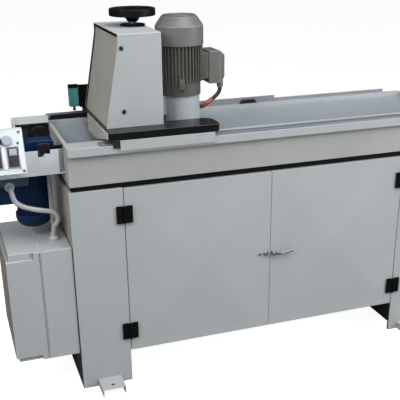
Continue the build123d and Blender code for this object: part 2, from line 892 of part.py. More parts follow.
# Drive motor hung under the carrier, with its fan cowl and terminal box
drive_motor_x = left - drive_motor_reach
drive_motor_y = front + drive_motor_depth
drive_motor_top = bracket_floor - bracket_sheet
drive_flange_bottom = drive_motor_top - drive_motor_flange
drive_motor_bottom = drive_flange_bottom - drive_motor_length
drive_box_right = drive_motor_x - drive_motor_radius
drive_box_top = drive_motor_top - drive_box_drop
with BuildPart() as drive_motor:
    drive_stator_radius = drive_motor_radius - drive_motor_fin
    post(drive_motor_x, drive_motor_y, (drive_flange_bottom, drive_motor_top), drive_motor_radius)
    with BuildSketch(Plane.XY.offset(drive_motor_bottom)):
        with Locations((drive_motor_x, drive_motor_y)):
            Circle(drive_stator_radius)
            with PolarLocations(drive_stator_radius, drive_motor_fin_count):
                Rectangle(2 * drive_motor_fin, drive_motor_fin_thickness)
    extrude(amount=drive_motor_length)
    drive_box_y = (drive_motor_y - drive_box_back - drive_box_depth, drive_motor_y - drive_box_back)
    drive_box_z = (drive_box_top - drive_box_height, drive_box_top)
    block((drive_box_right - drive_box_width, drive_motor_x), drive_box_y, drive_box_z)
    cowl_z = (drive_motor_bottom - drive_cowl_length, drive_motor_bottom)
    post(drive_motor_x, drive_motor_y, cowl_z, drive_cowl_radius)
    fillet(drive_motor.edges().group_by(Axis.Z)[0], drive_cowl_round)
drive_motor.part.label = "drive_motor"
export_step(drive_motor.part, "parts/drive_motor.step")

# Electrical enclosure: body on the left leg, contactors inside, hinged lid towards the left
with BuildPart() as enclosure_body:
    body_x = (enclosure_right - enclosure_body_width, enclosure_right)
    body_y = (enclosure_y, enclosure_y + enclosure_depth)
    body_z = (enclosure_bottom, enclosure_top)
    block(body_x, body_y, body_z)
    block((body_x[0], body_x[1] - enclosure_wall), (body_y[0] + enclosure_wall, body_y[1] - enclosure_wall),
          (body_z[0] + enclosure_wall, body_z[1] - enclosure_wall), Mode.SUBTRACT)
    for spacer_y in (body_y[0] + spacer_inset, body_y[1] - spacer_inset):
        for spacer_z in (body_z[0] + spacer_inset, body_z[1] - spacer_inset):
            rod_x((enclosure_right, left), spacer_y, spacer_z, spacer_radius)
    for hinge_z in lid_hinges:
        fixed_leaf(lid_axis_x, lid_axis_wall, 1, 1, hinge_z)
enclosure_body.part.label = "enclosure_body"
export_step(enclosure_body.part, "parts/enclosure_body.step")

with BuildPart() as contactors:
    contactor_back = enclosure_right - enclosure_wall
    contactor_z = (enclosure_bottom + enclosure_top) / 2
    for step in range(contactor_count):
        middle_y = enclosure_y + enclosure_depth / 2 + (step - (contactor_count - 1) / 2) * contactor_pitch
        block((contactor_back - contactor_depth, contactor_back),
              (middle_y - contactor_width / 2, middle_y + contactor_width / 2),
              (contactor_z - contactor_height / 2, contactor_z + contactor_height / 2))
contactors.part.label = "contactors"
export_step(contactors.part, "parts/contactors.step")

with BuildPart() as enclosure_lid:
    lid_y = (enclosure_y, enclosure_y + enclosure_depth)
    core_y = (lid_y[0] + lid_step, lid_y[1] - lid_step)
    block((lid_right - lid_flange, lid_right), lid_y, body_z)
    block((lid_left + lid_step, lid_right), core_y, body_z)
    block((lid_left, lid_right), lid_y, (enclosure_bottom + lid_bottom_band, enclosure_top - lid_top_band))
    block((lid_left + lid_step + enclosure_wall, lid_right),
          (core_y[0] + enclosure_wall, core_y[1] - enclosure_wall),
          (body_z[0] + enclosure_wall, body_z[1] - enclosure_wall), Mode.SUBTRACT)
    for hinge_z in lid_hinges:
        moving_leaf(lid_axis_x, lid_axis_wall, 1, -1, hinge_z)
enclosure_lid.part.label = "enclosure_lid"
export_step(enclosure_lid.part, "parts/enclosure_lid.step")

# Conduit glands, and the straight conduit between the carrier and the enclosure
motor_gland_x = left - motor_gland_reach
motor_gland_z = drive_box_top - motor_gland_drop
conduit_gland_x = left - conduit_gland_reach
conduit_gland_y = front + conduit_gland_depth
control_gland_x = left - control_gland_reach
control_gland_y = front + control_gland_depth
gland_front = drive_box_y[0] - gland_height
with BuildPart() as cable_glands:
    rod_y(motor_gland_x, (gland_front, drive_box_y[0]), motor_gland_z, gland_radius)
    for gland_x, gland_y in ((conduit_gland_x, conduit_gland_y), (control_gland_x, control_gland_y)):
        post(gland_x, gland_y, (enclosure_top, enclosure_top + gland_flange), gland_flange_radius)
        post(gland_x, gland_y, (enclosure_top, enclosure_top + gland_height), gland_radius)
    post(control_gland_x, control_gland_y, (drive_motor_top - gland_height, drive_motor_top), gland_radius)
    post(control_gland_x, control_gland_y, (enclosure_top, drive_motor_top), control_conduit_radius)
cable_glands.part.label = "cable_glands"
export_step(cable_glands.part, "parts/cable_glands.step")

# Flexible conduit that loops from the drive motor down to the enclosure
motor_conduit_route = [
    (motor_gland_x, gland_front, motor_gland_z),
    *((motor_gland_x + right_step, gland_front - forward_step, motor_gland_z - down_step)
      for right_step, forward_step, down_step in conduit_steps),
    (conduit_gland_x, conduit_gland_y, enclosure_top + gland_height + conduit_rise),
    (conduit_gland_x, conduit_gland_y, enclosure_top + gland_height),
]
motor_conduit_radii = bend_radii(motor_conduit_route)
with BuildPart() as motor_conduit:
    with BuildLine() as conduit_path:
        FilletPolyline(*motor_conduit_route, radius=motor_conduit_radii)
    with BuildSketch(Plane(origin=conduit_path.line @ 0, z_dir=conduit_path.line % 0)):
        Circle(conduit_radius)
    sweep(path=conduit_path.line)
motor_conduit.part.label = "motor_conduit"
export_step(motor_conduit.part, "parts/motor_conduit.step")

# Control box: a sheet wedge, open in front, closed by the sloping panel
panel_top = panel_bottom + panel_rise
box_open = front - panel_lean
with BuildPart() as control_box:
    with BuildSketch(Plane.YZ.offset(control_left)):
        with BuildLine():
            Polyline(
                (front, panel_bottom),
                (front + panel_lean, panel_top),
                (control_back, panel_top),
                (control_back, panel_bottom),
                close=True,
            )
        make_face()
    extrude(amount=panel_width)
    with BuildSketch(Plane.YZ.offset(control_left + panel_sheet)):
        with BuildLine():
            Polyline(
                (box_open, panel_bottom + panel_sheet),
                (box_open, panel_top - panel_sheet),
                (control_back - panel_sheet, panel_top - panel_sheet),
                (control_back - panel_sheet, panel_bottom + panel_sheet),
                close=True,
            )
        make_face()
    extrude(amount=panel_width - 2 * panel_sheet, mode=Mode.SUBTRACT)
control_box.part.label = "control_box"
export_step(control_box.part, "parts/control_box.step")

# Panel plate with its switch frames and pilot lamp, drawn from its lower right corner
panel_slope = (panel_rise**2 + panel_lean**2) ** 0.5
panel_face = Plane(
    origin=(control_right, front, panel_bottom), x_dir=(1, 0, 0), z_dir=(0, -panel_rise, panel_lean)
)
rocker_places = {"right_rocker": rocker_right_column, "left_rocker": rocker_left_column}
rocker_hole = (rocker_width + 2 * rocker_gap, rocker_height + 2 * rocker_gap)
rocker_pin_half = rocker_width / 2 + rocker_gap + rocker_pin_seat
rocker_pivots = {}
for name, column in rocker_places.items():
    pivot = panel_face.from_local_coords((-column, rocker_row, panel_plate))
    rocker_pivots[name] = Plane(origin=pivot, x_dir=(0, 1, 0), z_dir=(1, 0, 0))
with BuildPart() as control_panel:
    with BuildSketch(panel_face):
        with Locations((-panel_width / 2, panel_slope / 2)):
            Rectangle(panel_width, panel_slope)
    extrude(amount=panel_plate)
    with BuildSketch(panel_face):
        for column in rocker_places.values():
            with Locations((-column, rocker_row)):
                Rectangle(rocker_hole[0] + 2 * rocker_bezel, rocker_hole[1] + 2 * rocker_bezel)
    extrude(amount=panel_plate + rocker_bezel_height)
    with BuildSketch(panel_face):
        for column in rocker_places.values():
            with Locations((-column, rocker_row)):
                Rectangle(*rocker_hole)
        with Locations((-stop_column, lamp_row)):
            Circle(stop_stem_radius + running_clearance)
    extrude(amount=panel_plate + rocker_bezel_height, mode=Mode.SUBTRACT)
    for pivot in rocker_pivots.values():
        with BuildSketch(pivot):
            Circle(rocker_pin_radius + running_clearance)
        extrude(amount=rocker_pin_half + face_gap, both=True, mode=Mode.SUBTRACT)
    with BuildSketch(panel_face.offset(panel_plate)):
        with Locations((-lamp_column, lamp_row)):
            Circle(lamp_radius)
    extrude(amount=lamp_height)
control_panel.part.label = "control_panel"
export_step(control_panel.part, "parts/control_panel.step")

for name, column in rocker_places.items():
    with BuildPart() as rocker:
        with BuildSketch(panel_face.offset(panel_plate + rocker_bezel_height + rocker_proud - rocker_depth)):
            with Locations((-column, rocker_row)):
                Rectangle(rocker_width, rocker_height)
        extrude(amount=rocker_depth)
        with BuildSketch(rocker_pivots[name]):
            Circle(rocker_pin_radius)
        extrude(amount=rocker_pin_half, both=True)
    rocker.part.label = name
    export_step(rocker.part, f"parts/{name}.step")

with BuildPart() as emergency_stop:
    with BuildSketch(panel_face.offset(-stop_stem_depth)):
        with Locations((-stop_column, lamp_row)):
            Circle(stop_stem_radius)
    extrude(amount=stop_stem_depth + panel_plate + stop_travel + stop_gap)
    with BuildSketch(panel_face.offset(panel_plate + stop_travel + stop_gap)):
        with Locations((-stop_column, lamp_row)):
            Circle(stop_radius)
    extrude(amount=stop_height)
emergency_stop.part.label = "emergency_stop"
export_step(emergency_stop.part, "parts/emergency_stop.step")

# Doors: folded trays with a shallow pyramid pressed into the front
door_top = leg_height - door_gap
door_z = (door_bottom, door_top)
door_middle_z = (door_bottom + door_top) / 2
left_door_x = (bay_left + door_gap, centre - door_meeting_gap / 2)
right_door_x = (centre + door_meeting_gap / 2, bay_right - door_gap)
handle_x = centre + handle_setback
for name, door_x in (("left_door", left_door_x), ("right_door", right_door_x)):
    with BuildPart() as door:
        block(door_x, (front, front + door_depth), door_z)
        block((door_x[0] + door_sheet, door_x[1] - door_sheet), (front + door_sheet, front + door_depth),
              (door_z[0] + door_sheet, door_z[1] - door_sheet), Mode.SUBTRACT)
        with BuildSketch(Plane.XZ.offset(-front)) as door_face:
            with Locations(((door_x[0] + door_x[1]) / 2, door_middle_z)):
                Rectangle(door_x[1] - door_x[0] - 2 * door_border, door_top - door_bottom - 2 * door_border)
        apex = Vertex((door_x[0] + door_x[1]) / 2, front - door_crown, door_middle_z)
        loft(sections=[door_face.sketch.face(), apex])
        if name == "right_door":
            rod_y(handle_x, (front - door_crown, front + door_depth), handle_height,
                  handle_spindle_radius + running_clearance, Mode.SUBTRACT)
    door.part.label = name
    export_step(door.part, f"parts/{name}.step")

# Hinges: leaves on the legs with two knuckles and the pin, leaves on the doors with the middle knuckle
hinge_low = door_bottom + hinge_low_inset
hinge_high = door_top - hinge_high_inset
hinge_axes = {"left": bay_left + door_gap / 2, "right": bay_right - door_gap / 2}
with BuildPart() as leg_hinge_leaves:
    for side, axis_x in hinge_axes.items():
        for hinge_z in (hinge_low, hinge_high):
            fixed_leaf(axis_x, front, -1, leg_side[side], hinge_z)
leg_hinge_leaves.part.label = "leg_hinge_leaves"
export_step(leg_hinge_leaves.part, "parts/leg_hinge_leaves.step")

for side, axis_x in hinge_axes.items():
    with BuildPart() as door_hinge_leaves:
        for hinge_z in (hinge_low, hinge_high):
            moving_leaf(axis_x, front, -1, -leg_side[side], hinge_z)
    door_hinge_leaves.part.label = f"{side}_hinge_leaves"
    export_step(door_hinge_leaves.part, f"parts/{side}_hinge_leaves.step")

# Lever handle with its spindle through the right door and a latch cam behind it
with BuildPart() as door_handle:
    handle_front = front - handle_standoff - handle_boss_height
    rod_y(handle_x, (handle_front, front - handle_standoff), handle_height, handle_boss_radius)
    with BuildSketch(Plane.XZ.offset(-handle_front - handle_thickness)):
        with BuildLine():
            tip_x = handle_x + handle_length
            tip_z = handle_height + handle_rise
            Polyline(
                (handle_x, handle_height - handle_width / 2),
                (tip_x, tip_z - handle_width / 2),
                (tip_x, tip_z + handle_width / 2),
                (handle_x, handle_height + handle_width / 2),
                close=True,
            )
        make_face()
    extrude(amount=handle_thickness)
    cam_y = (front + door_depth + cam_gap, front + door_depth + cam_gap + cam_thickness)
    rod_y(handle_x, (front - handle_standoff, cam_y[1]), handle_height, handle_spindle_radius)
    block((handle_x - cam_width / 2, handle_x + cam_width / 2), cam_y,
          (handle_height - cam_width / 2, handle_height + cam_length))
door_handle.part.label = "door_handle"
export_step(door_handle.part, "parts/door_handle.step")

# Carriage: flat L-shaped base over both ways, with a fork below that grips the chain's upper run
with BuildPart() as carriage_base:
    with BuildSketch(Plane.XY.offset(base_bottom)):
        with BuildLine():
            Polyline(
                (base_left, base_front),
                (base_right, base_front),
                (base_right, bar_rear),
                (saddle_right, bar_rear),
                (saddle_right, saddle_back),
                (base_left, saddle_back),
                close=True,
            )
        make_face()
    extrude(amount=base_thickness)
    nose = carriage_base.edges().filter_by(Axis.Z).group_by(Axis.X)[-1].sort_by(Axis.Y)
    fillet(nose[0], base_front_corner)
    nose = carriage_base.edges().filter_by(Axis.Z).group_by(Axis.X)[-1].sort_by(Axis.Y)
    fillet(nose[-1], base_rear_corner)
    grip_x = (base_left + clamp_lug_start, base_left + clamp_lug_start + clamp_lug_length)
    slot_half = chain_width / 2 + chain_clearance
    grip_half = slot_half + clamp_lug_wall
    strand_bottom = rim_top - chain_drop - chain_plate / 2
    block(grip_x, (chain_y - grip_half, chain_y + grip_half), (strand_bottom - clamp_lug_reach, base_bottom))
    block(grip_x, (chain_y - slot_half, chain_y + slot_half),
          (strand_bottom - clamp_lug_reach, strand_bottom + chain_plate + chain_clearance), Mode.SUBTRACT)
carriage_base.part.label = "carriage_base"
export_step(carriage_base.part, "parts/carriage_base.step")

with BuildPart() as carriage_skirt:
    skirt_x = (base_left + skirt_left_inset, base_right - skirt_right_inset)
    skirt_y = (base_front, base_front + skirt_sheet)
    block(skirt_x, skirt_y, (base_bottom - skirt_drop, base_bottom))
carriage_skirt.part.label = "carriage_skirt"
export_step(carriage_skirt.part, "parts/carriage_skirt.step")

# Sliding pads on both ways, and the wiper beside the skirt
with BuildPart() as guide_pads:
    rear_pad_y = (ledge_front, saddle_back)
    for pad_x in (base_left + pad_inset, base_right - pad_inset - pad_length):
        block((pad_x, pad_x + pad_length), rail_y, (rim_top + rail_height, base_bottom))
    for pad_x in (base_left + rear_pad_inset, saddle_right - rear_pad_inset - pad_length):
        block((pad_x, pad_x + pad_length), rear_pad_y, (rim_top, base_bottom))
    block((base_left + wiper_left_inset, skirt_x[0]), skirt_y, (base_bottom - wiper_drop, base_bottom))
guide_pads.part.label = "guide_pads"
export_step(guide_pads.part, "parts/guide_pads.step")

# Splash plate on the base's left side, which reaches down into the bed behind the chain
with BuildPart() as carriage_apron:
    with BuildSketch(Plane.YZ.offset(base_left - splash_sheet)):
        with BuildLine():
            Polyline(
                (base_front, base_top),
                (base_front + splash_depth, base_top),
                (base_front + splash_depth, base_top - splash_back_drop),
                (base_front + splash_bend, base_top - splash_bend_drop),
                (base_front, base_top - splash_front_drop),
                close=True,
            )
        make_face()
    extrude(amount=splash_sheet)
carriage_apron.part.label = "carriage_apron"
export_step(carriage_apron.part, "parts/carriage_apron.step")

# Column: a channel that is open to the right, with the feed screw's bearing in its top
column_left = column_face - column_width
column_top = cover_top - column_headroom
column_y = (screw_y - column_depth / 2, screw_y + column_depth / 2)
with BuildPart() as column:
    block((column_left, column_face), column_y, (base_top, column_top))
    block((column_left + column_wall, column_face), (column_y[0] + column_wall, column_y[1] - column_wall),
          (base_top, column_top - column_wall), Mode.SUBTRACT)
    post(screw_x, screw_y, (base_top, column_top), screw_radius + running_clearance, Mode.SUBTRACT)
column.part.label = "column"
export_step(column.part, "parts/column.step")

# Sheet cover over the column, open to the left and below
cover_left = base_left + cover_foot_inset
cover_shoulder_x = base_left + cover_shoulder_inset
slide_y = (screw_y - slide_width / 2, screw_y + slide_width / 2)
slide_z = (slide_bottom, slide_bottom + slide_height)
with BuildPart() as head_cover:
    with BuildSketch(Plane.XZ.offset(-cover_back)):
        with BuildLine():
            Polyline(
                (cover_left, base_top),
                (cover_shoulder_x, cover_top - cover_shoulder),
                (cover_shoulder_x, cover_top),
                (cover_right, cover_top),
                (cover_right, base_top),
                close=True,
            )
        make_face()
    extrude(amount=cover_depth)
    block((cover_left, cover_right - cover_sheet), (cover_front + cover_sheet, cover_back - cover_sheet),
          (base_top, cover_top - cover_sheet), Mode.SUBTRACT)
    block((cover_right - cover_sheet, cover_right), (slide_y[0] - window_margin, slide_y[1] + window_margin),
          (base_top, slide_z[1] + feed_rise + window_margin), Mode.SUBTRACT)
    neck_hole = handwheel_neck_radius + neck_gap
    post(screw_x, screw_y, (cover_top - cover_sheet, cover_top), neck_hole, Mode.SUBTRACT)
head_cover.part.label = "head_cover"
export_step(head_cover.part, "parts/head_cover.step")

with BuildPart() as cover_side_panel:
    with BuildSketch(Plane.XZ.offset(cover_panel_gap + cover_sheet - cover_back)):
        with BuildLine():
            panel_high = cover_top - cover_sheet - cover_panel_gap
            Polyline(
                (cover_left + panel_inset, base_top),
                (cover_shoulder_x + panel_inset, cover_top - cover_shoulder),
                (cover_shoulder_x + panel_inset, panel_high),
                (cover_shoulder_x + panel_inset + cover_sheet, panel_high),
                (cover_shoulder_x + panel_inset + cover_sheet, cover_top - cover_shoulder),
                (cover_left + panel_inset + cover_sheet, base_top),
                close=True,
            )
        make_face()
    extrude(amount=cover_depth - cover_panel_gap - 2 * cover_sheet)
cover_side_panel.part.label = "cover_side_panel"
export_step(cover_side_panel.part, "parts/cover_side_panel.step")

with BuildPart() as cover_screws:
    screw_low = base_top + cover_screw_low
    screw_high = cover_top - cover_screw_high
    head_x = cover_right - cover_screw_column
    for head_z in (screw_low, screw_high):
        rod_y(head_x, (cover_front - cover_screw_height, cover_front), head_z, cover_screw_radius)
cover_screws.part.label = "cover_screws"
export_step(cover_screws.part, "parts/cover_screws.step")

# Limit switch on its black plate behind the cover, with a sprung roller plunger below
switch_x = (base_left - switch_reach, base_left - switch_reach + switch_width)
switch_y = (cover_back + switch_setback, cover_back + switch_setback + switch_depth)
switch_z = (base_top + switch_lift, base_top + switch_lift + switch_height)
plunger_x = (switch_x[0] + switch_x[1]) / 2
plunger_y = (switch_y[0] + switch_y[1]) / 2
with BuildPart() as limit_switch:
    block(switch_x, switch_y, switch_z)
    socket_z = (switch_z[0], switch_z[0] + plunger_socket)
    post(plunger_x, plunger_y, socket_z, plunger_radius + running_clearance, Mode.SUBTRACT)
limit_switch.part.label = "limit_switch"
export_step(limit_switch.part, "parts/limit_switch.step")

with BuildPart() as switch_bracket:
    frame_z = (base_top, switch_z[1] + switch_frame)
    block((switch_x[1], switch_x[1] + switch_frame_width), (cover_back, cover_back + switch_plate), frame_z)
    block((switch_x[0], switch_x[1]), (cover_back, switch_y[1]), (switch_z[1], frame_z[1]))
switch_bracket.part.label = "switch_bracket"
export_step(switch_bracket.part, "parts/switch_bracket.step")

with BuildPart() as limit_plunger:
    stem_z = (switch_z[0] - plunger_length, switch_z[0] + plunger_socket - plunger_travel - face_gap)
    post(plunger_x, plunger_y, stem_z, plunger_radius)
    rod_y(plunger_x, (plunger_y - roller_width / 2, plunger_y + roller_width / 2),
          switch_z[0] - plunger_length + roller_radius - plunger_radius, roller_radius)
limit_plunger.part.label = "limit_plunger"
export_step(limit_plunger.part, "parts/limit_plunger.step")

# Head casting: slide plate, feed nut, arm and the round adaptor under the motor
slide_face = column_face + slide_thickness
with BuildPart() as head_slide:
    block((column_face, slide_face), slide_y, slide_z)
    nut_z = (base_top + nut_lift, base_top + nut_lift + nut_height)
    block((screw_x - nut_margin, column_face), (screw_y - nut_width / 2, screw_y + nut_width / 2), nut_z)
    arm_z = (base_top + arm_gap, adaptor_top)
    block((slide_face, motor_x), (motor_y - arm_forward, motor_y + arm_behind), arm_z)
    block((slide_face, motor_x - adaptor_radius), (motor_y, slide_y[1] - arm_back), arm_z)
    post(motor_x, motor_y, (adaptor_bottom, adaptor_top), adaptor_radius)
    skirt_z = (adaptor_bottom, adaptor_top - adaptor_cap)
    post(motor_x, motor_y, skirt_z, adaptor_radius - adaptor_wall, Mode.SUBTRACT)
    post(motor_x, motor_y, (adaptor_bottom, adaptor_top), spindle_radius + running_clearance, Mode.SUBTRACT)
    post(screw_x, screw_y, nut_z, screw_radius + running_clearance, Mode.SUBTRACT)
head_slide.part.label = "head_slide"
export_step(head_slide.part, "parts/head_slide.step")

# Grinding motor with cooling fins and the flat pad for its terminal box
pad_x = motor_x + stator_radius + motor_fin + terminal_pad
terminal_z = (shield_top - terminal_lower, shield_top - terminal_lower + terminal_height)
terminal_y = (motor_y - terminal_depth / 2, motor_y + terminal_depth / 2)
gasket_y = (terminal_y[0] + terminal_gasket_inset, terminal_y[1] - terminal_gasket_inset)
gasket_z = (shield_top + terminal_gasket_inset, terminal_z[1] - terminal_gasket_inset)
with BuildPart() as grinding_motor:
    post(motor_x, motor_y, (adaptor_top, shield_top), shield_radius)
    with BuildSketch(Plane.XY.offset(shield_top)):
        with Locations((motor_x, motor_y)):
            Circle(stator_radius)
            with PolarLocations(stator_radius, motor_fin_count):
                Rectangle(2 * motor_fin, motor_fin_thickness)
    extrude(amount=stator_height)
    block((motor_x, pad_x), gasket_y, gasket_z)
    post(motor_x, motor_y, (adaptor_top, stator_top), spindle_radius + running_clearance, Mode.SUBTRACT)
grinding_motor.part.label = "grinding_motor"
export_step(grinding_motor.part, "parts/grinding_motor.step")

with BuildPart() as motor_cowl:
    with BuildSketch(Plane.XZ.offset(-motor_y)):
        with BuildLine():
            cowl_top = stator_top + cowl_height
            cowl_break = cowl_top - cowl_chamfer_height
            cowl_flat = cowl_radius - cowl_chamfer
            Polyline(
                (motor_x, cowl_top),
                (motor_x + cowl_flat, cowl_top),
                (motor_x + cowl_radius, cowl_break),
                (motor_x + cowl_radius, stator_top),
                (motor_x + cowl_radius - cowl_sheet, stator_top),
                (motor_x + cowl_radius - cowl_sheet, cowl_break - cowl_sheet),
                (motor_x + cowl_flat - cowl_sheet, cowl_top - cowl_sheet),
                (motor_x, cowl_top - cowl_sheet),
                close=True,
            )
        make_face()
    revolve(axis=Axis((motor_x, motor_y, 0), (0, 0, 1)))
motor_cowl.part.label = "motor_cowl"
export_step(motor_cowl.part, "parts/motor_cowl.step")

# Terminal box: black gasket, box with a slanted lid, and the gland below
box_x = pad_x + terminal_gasket
cable_exit_x = box_x + cable_exit
cable_exit_y = motor_y - cable_forward
cable_exit_z = terminal_z[0] - gland_height
with BuildPart() as terminal_box:
    block((box_x, box_x + terminal_width), terminal_y, terminal_z)
    lid_middle = (motor_y, (terminal_z[0] + terminal_z[1]) / 2)
    lid_x = box_x + terminal_width
    for lid_plane, taper in ((lid_x, 0), (lid_x + terminal_lid, terminal_taper)):
        with BuildSketch(Plane.YZ.offset(lid_plane)):
            with Locations(lid_middle):
                Rectangle(terminal_depth - 2 * taper, terminal_height - 2 * taper)
    loft()
    block((pad_x, box_x), gasket_y, gasket_z)
    post(cable_exit_x, cable_exit_y, (cable_exit_z, terminal_z[0] + terminal_taper), cable_gland_radius)
terminal_box.part.label = "terminal_box"
export_step(terminal_box.part, "parts/terminal_box.step")

# Motor cable, from the terminal box round the back of the adaptor into the head
cable_end_y = cable_exit_y + cable_end_back
cable_end_z = cable_exit_z - cable_end_drop
motor_cable_route = [
    (cable_exit_x, cable_exit_y, cable_exit_z),
    *((cable_exit_x - left_step, cable_exit_y + back_step, cable_exit_z - down_step)
      for left_step, back_step, down_step in cable_steps),
    (cable_exit_x - cable_end_left, cable_end_y, cable_end_z),
    (slide_face, cable_end_y, cable_end_z),
]
motor_cable_radii = bend_radii(motor_cable_route)
with BuildPart() as motor_cable:
    with BuildLine() as cable_path:
        FilletPolyline(*motor_cable_route, radius=motor_cable_radii)
    with BuildSketch(Plane(origin=cable_path.line @ 0, z_dir=cable_path.line % 0)):
        Circle(motor_cable_radius)
    sweep(path=cable_path.line)
motor_cable.part.label = "motor_cable"
export_step(motor_cable.part, "parts/motor_cable.step")

# Spindle, cup wheel and the fan inside the cowl
with BuildPart() as spindle_shaft:
    wheel_floor = wheel_top - wheel_back
    shaft_z = (wheel_floor - wheel_nut_height, stator_top + fan_lift + fan_hub_height)
    post(motor_x, motor_y, shaft_z, spindle_radius)
    post(motor_x, motor_y, (wheel_top, wheel_top + wheel_nut_height), wheel_nut_radius)
    post(motor_x, motor_y, (wheel_floor - wheel_nut_height, wheel_floor), wheel_nut_radius)
spindle_shaft.part.label = "spindle_shaft"
export_step(spindle_shaft.part, "parts/spindle_shaft.step")

with BuildPart() as grinding_wheel:
    post(motor_x, motor_y, (wheel_top - wheel_height, wheel_top), wheel_radius)
    post(motor_x, motor_y, (wheel_top - wheel_height, wheel_floor), wheel_radius - wheel_rim, Mode.SUBTRACT)
    post(motor_x, motor_y, (wheel_floor, wheel_top), spindle_radius + running_clearance, Mode.SUBTRACT)
grinding_wheel.part.label = "grinding_wheel"
export_step(grinding_wheel.part, "parts/grinding_wheel.step")

with BuildPart() as motor_fan:
    fan_z = stator_top + fan_lift
    with BuildSketch(Plane.XY.offset(fan_z)):
        with Locations((motor_x, motor_y)):
            Circle(fan_hub_radius)
            with PolarLocations((fan_hub_radius + fan_radius) / 2, fan_blade_count):
                Rectangle(fan_radius - fan_hub_radius + fan_blade_thickness, fan_blade_thickness)
            Circle(spindle_radius + running_clearance, mode=Mode.SUBTRACT)
    extrude(amount=fan_hub_height)
motor_fan.part.label = "motor_fan"
export_step(motor_fan.part, "parts/motor_fan.step")

# Feed screw with its thrust collar, and the dished handwheel with its dial
rim_z = cover_top + handwheel_lift
with BuildPart() as feed_screw:
    post(screw_x, screw_y, (base_top + screw_foot, rim_z), screw_radius)
    post(screw_x, screw_y, (column_top, column_top + screw_collar), screw_collar_radius)
feed_screw.part.label = "feed_screw"
export_step(feed_screw.part, "parts/feed_screw.step")

with BuildPart() as handwheel:
    with BuildSketch(Plane.XZ.offset(-screw_y)):
        with BuildLine():
            dial_z = cover_top + dial_gap
            rim_top_z = rim_z + handwheel_rim_height
            web_x = handwheel_radius - handwheel_rim_width
            Polyline(
                (screw_x + screw_radius, dial_z),
                (screw_x + dial_radius, dial_z),
                (screw_x + dial_radius, dial_z + dial_height),
                (screw_x + handwheel_neck_radius, dial_z + dial_height),
                (screw_x + handwheel_neck_radius, rim_z - handwheel_dish),
                (screw_x + handwheel_hub_radius, rim_z - handwheel_dish),
                (screw_x + web_x, rim_z + handwheel_web),
                (screw_x + web_x, rim_z),
                (screw_x + handwheel_radius, rim_z),
                (screw_x + handwheel_radius, rim_top_z),
                (screw_x + web_x, rim_top_z),
                (screw_x + web_x, rim_z + 2 * handwheel_web),
                (screw_x + handwheel_hub_radius, rim_z - handwheel_dish + handwheel_web),
                (screw_x + handwheel_hub_radius, rim_z + handwheel_hub_rise),
                (screw_x, rim_z + handwheel_hub_rise),
                (screw_x, rim_z),
                (screw_x + screw_radius, rim_z),
                close=True,
            )
        make_face()
    revolve(axis=Axis((screw_x, screw_y, 0), (0, 0, 1)))
handwheel.part.label = "handwheel"
export_step(handwheel.part, "parts/handwheel.step")

# Bends and volumes of the two cords
for name, tube, path, radii, radius in (
    ("motor_conduit", motor_conduit, conduit_path, motor_conduit_radii, conduit_radius),
    ("motor_cable", motor_cable, cable_path, motor_cable_radii, motor_cable_radius),
):
    length = path.wire().length
    print(name, "bends", [round(r) for r in radii], "length", round(length))
    print(name, "volume", round(tube.part.volume), "section times length", round(pi * radius**2 * length))
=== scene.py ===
# %% [markdown]
# # A knife grinding machine
# The machine sharpens long planer knives. Its solids come from a CAD model, which loads here as a
# fixed frame in metres. Blender then adds what a drawing leaves out: rounded edges, paint, screws,
# chain links, ribs on the conduit, and light. Nothing in the frame is moved, so every new piece is
# placed with the same millimetres as the drawing.

import json
import math

import bmesh
import bpy
from mathutils import Matrix, Vector


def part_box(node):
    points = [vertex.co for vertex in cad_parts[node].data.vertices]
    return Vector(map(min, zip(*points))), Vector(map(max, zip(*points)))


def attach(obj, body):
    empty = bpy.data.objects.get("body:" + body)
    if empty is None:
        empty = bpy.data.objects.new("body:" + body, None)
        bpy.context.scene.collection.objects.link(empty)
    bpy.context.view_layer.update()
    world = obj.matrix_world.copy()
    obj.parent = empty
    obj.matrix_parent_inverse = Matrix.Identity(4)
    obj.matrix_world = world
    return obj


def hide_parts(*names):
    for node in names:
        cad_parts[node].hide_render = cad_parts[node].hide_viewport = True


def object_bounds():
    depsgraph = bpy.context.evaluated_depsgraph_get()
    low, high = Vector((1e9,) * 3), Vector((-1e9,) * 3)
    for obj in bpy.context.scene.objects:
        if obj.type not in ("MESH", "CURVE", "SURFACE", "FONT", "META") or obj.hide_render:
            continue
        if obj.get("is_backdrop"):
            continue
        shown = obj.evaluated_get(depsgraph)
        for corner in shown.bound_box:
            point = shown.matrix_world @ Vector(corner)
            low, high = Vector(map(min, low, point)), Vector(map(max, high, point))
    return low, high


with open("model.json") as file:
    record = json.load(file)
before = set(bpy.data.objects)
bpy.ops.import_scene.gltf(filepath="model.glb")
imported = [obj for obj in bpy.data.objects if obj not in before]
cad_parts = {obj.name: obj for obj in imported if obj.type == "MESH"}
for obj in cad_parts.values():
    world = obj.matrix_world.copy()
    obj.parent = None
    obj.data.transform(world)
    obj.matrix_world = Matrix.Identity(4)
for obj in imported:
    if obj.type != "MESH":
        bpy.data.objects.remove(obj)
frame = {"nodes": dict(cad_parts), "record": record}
cad_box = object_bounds()
record = frame["record"]
body_of = {node: body for body, nodes in record["behaviour"]["bodies"].items() for node in nodes}
slot_of = {row["node"]: row["material_slot"] for row in record["subparts"]}
MM = 0.001


def mm(*values):
    """A point or size of the drawing, in Blender's metres."""
    return Vector([value * MM for value in values])


# %% [markdown]
# ## The camera
# The view was fitted to straight edges of the machine: the feet, the bed and the doors. A camera in
# Blender looks along its own -Z, so its matrix is made from three directions: across, up and back.
# The lens length follows from the focal length in pixels, because the sensor spans the picture. The
# line of sight does not meet the picture's middle, so the lens is shifted by shares of its width.

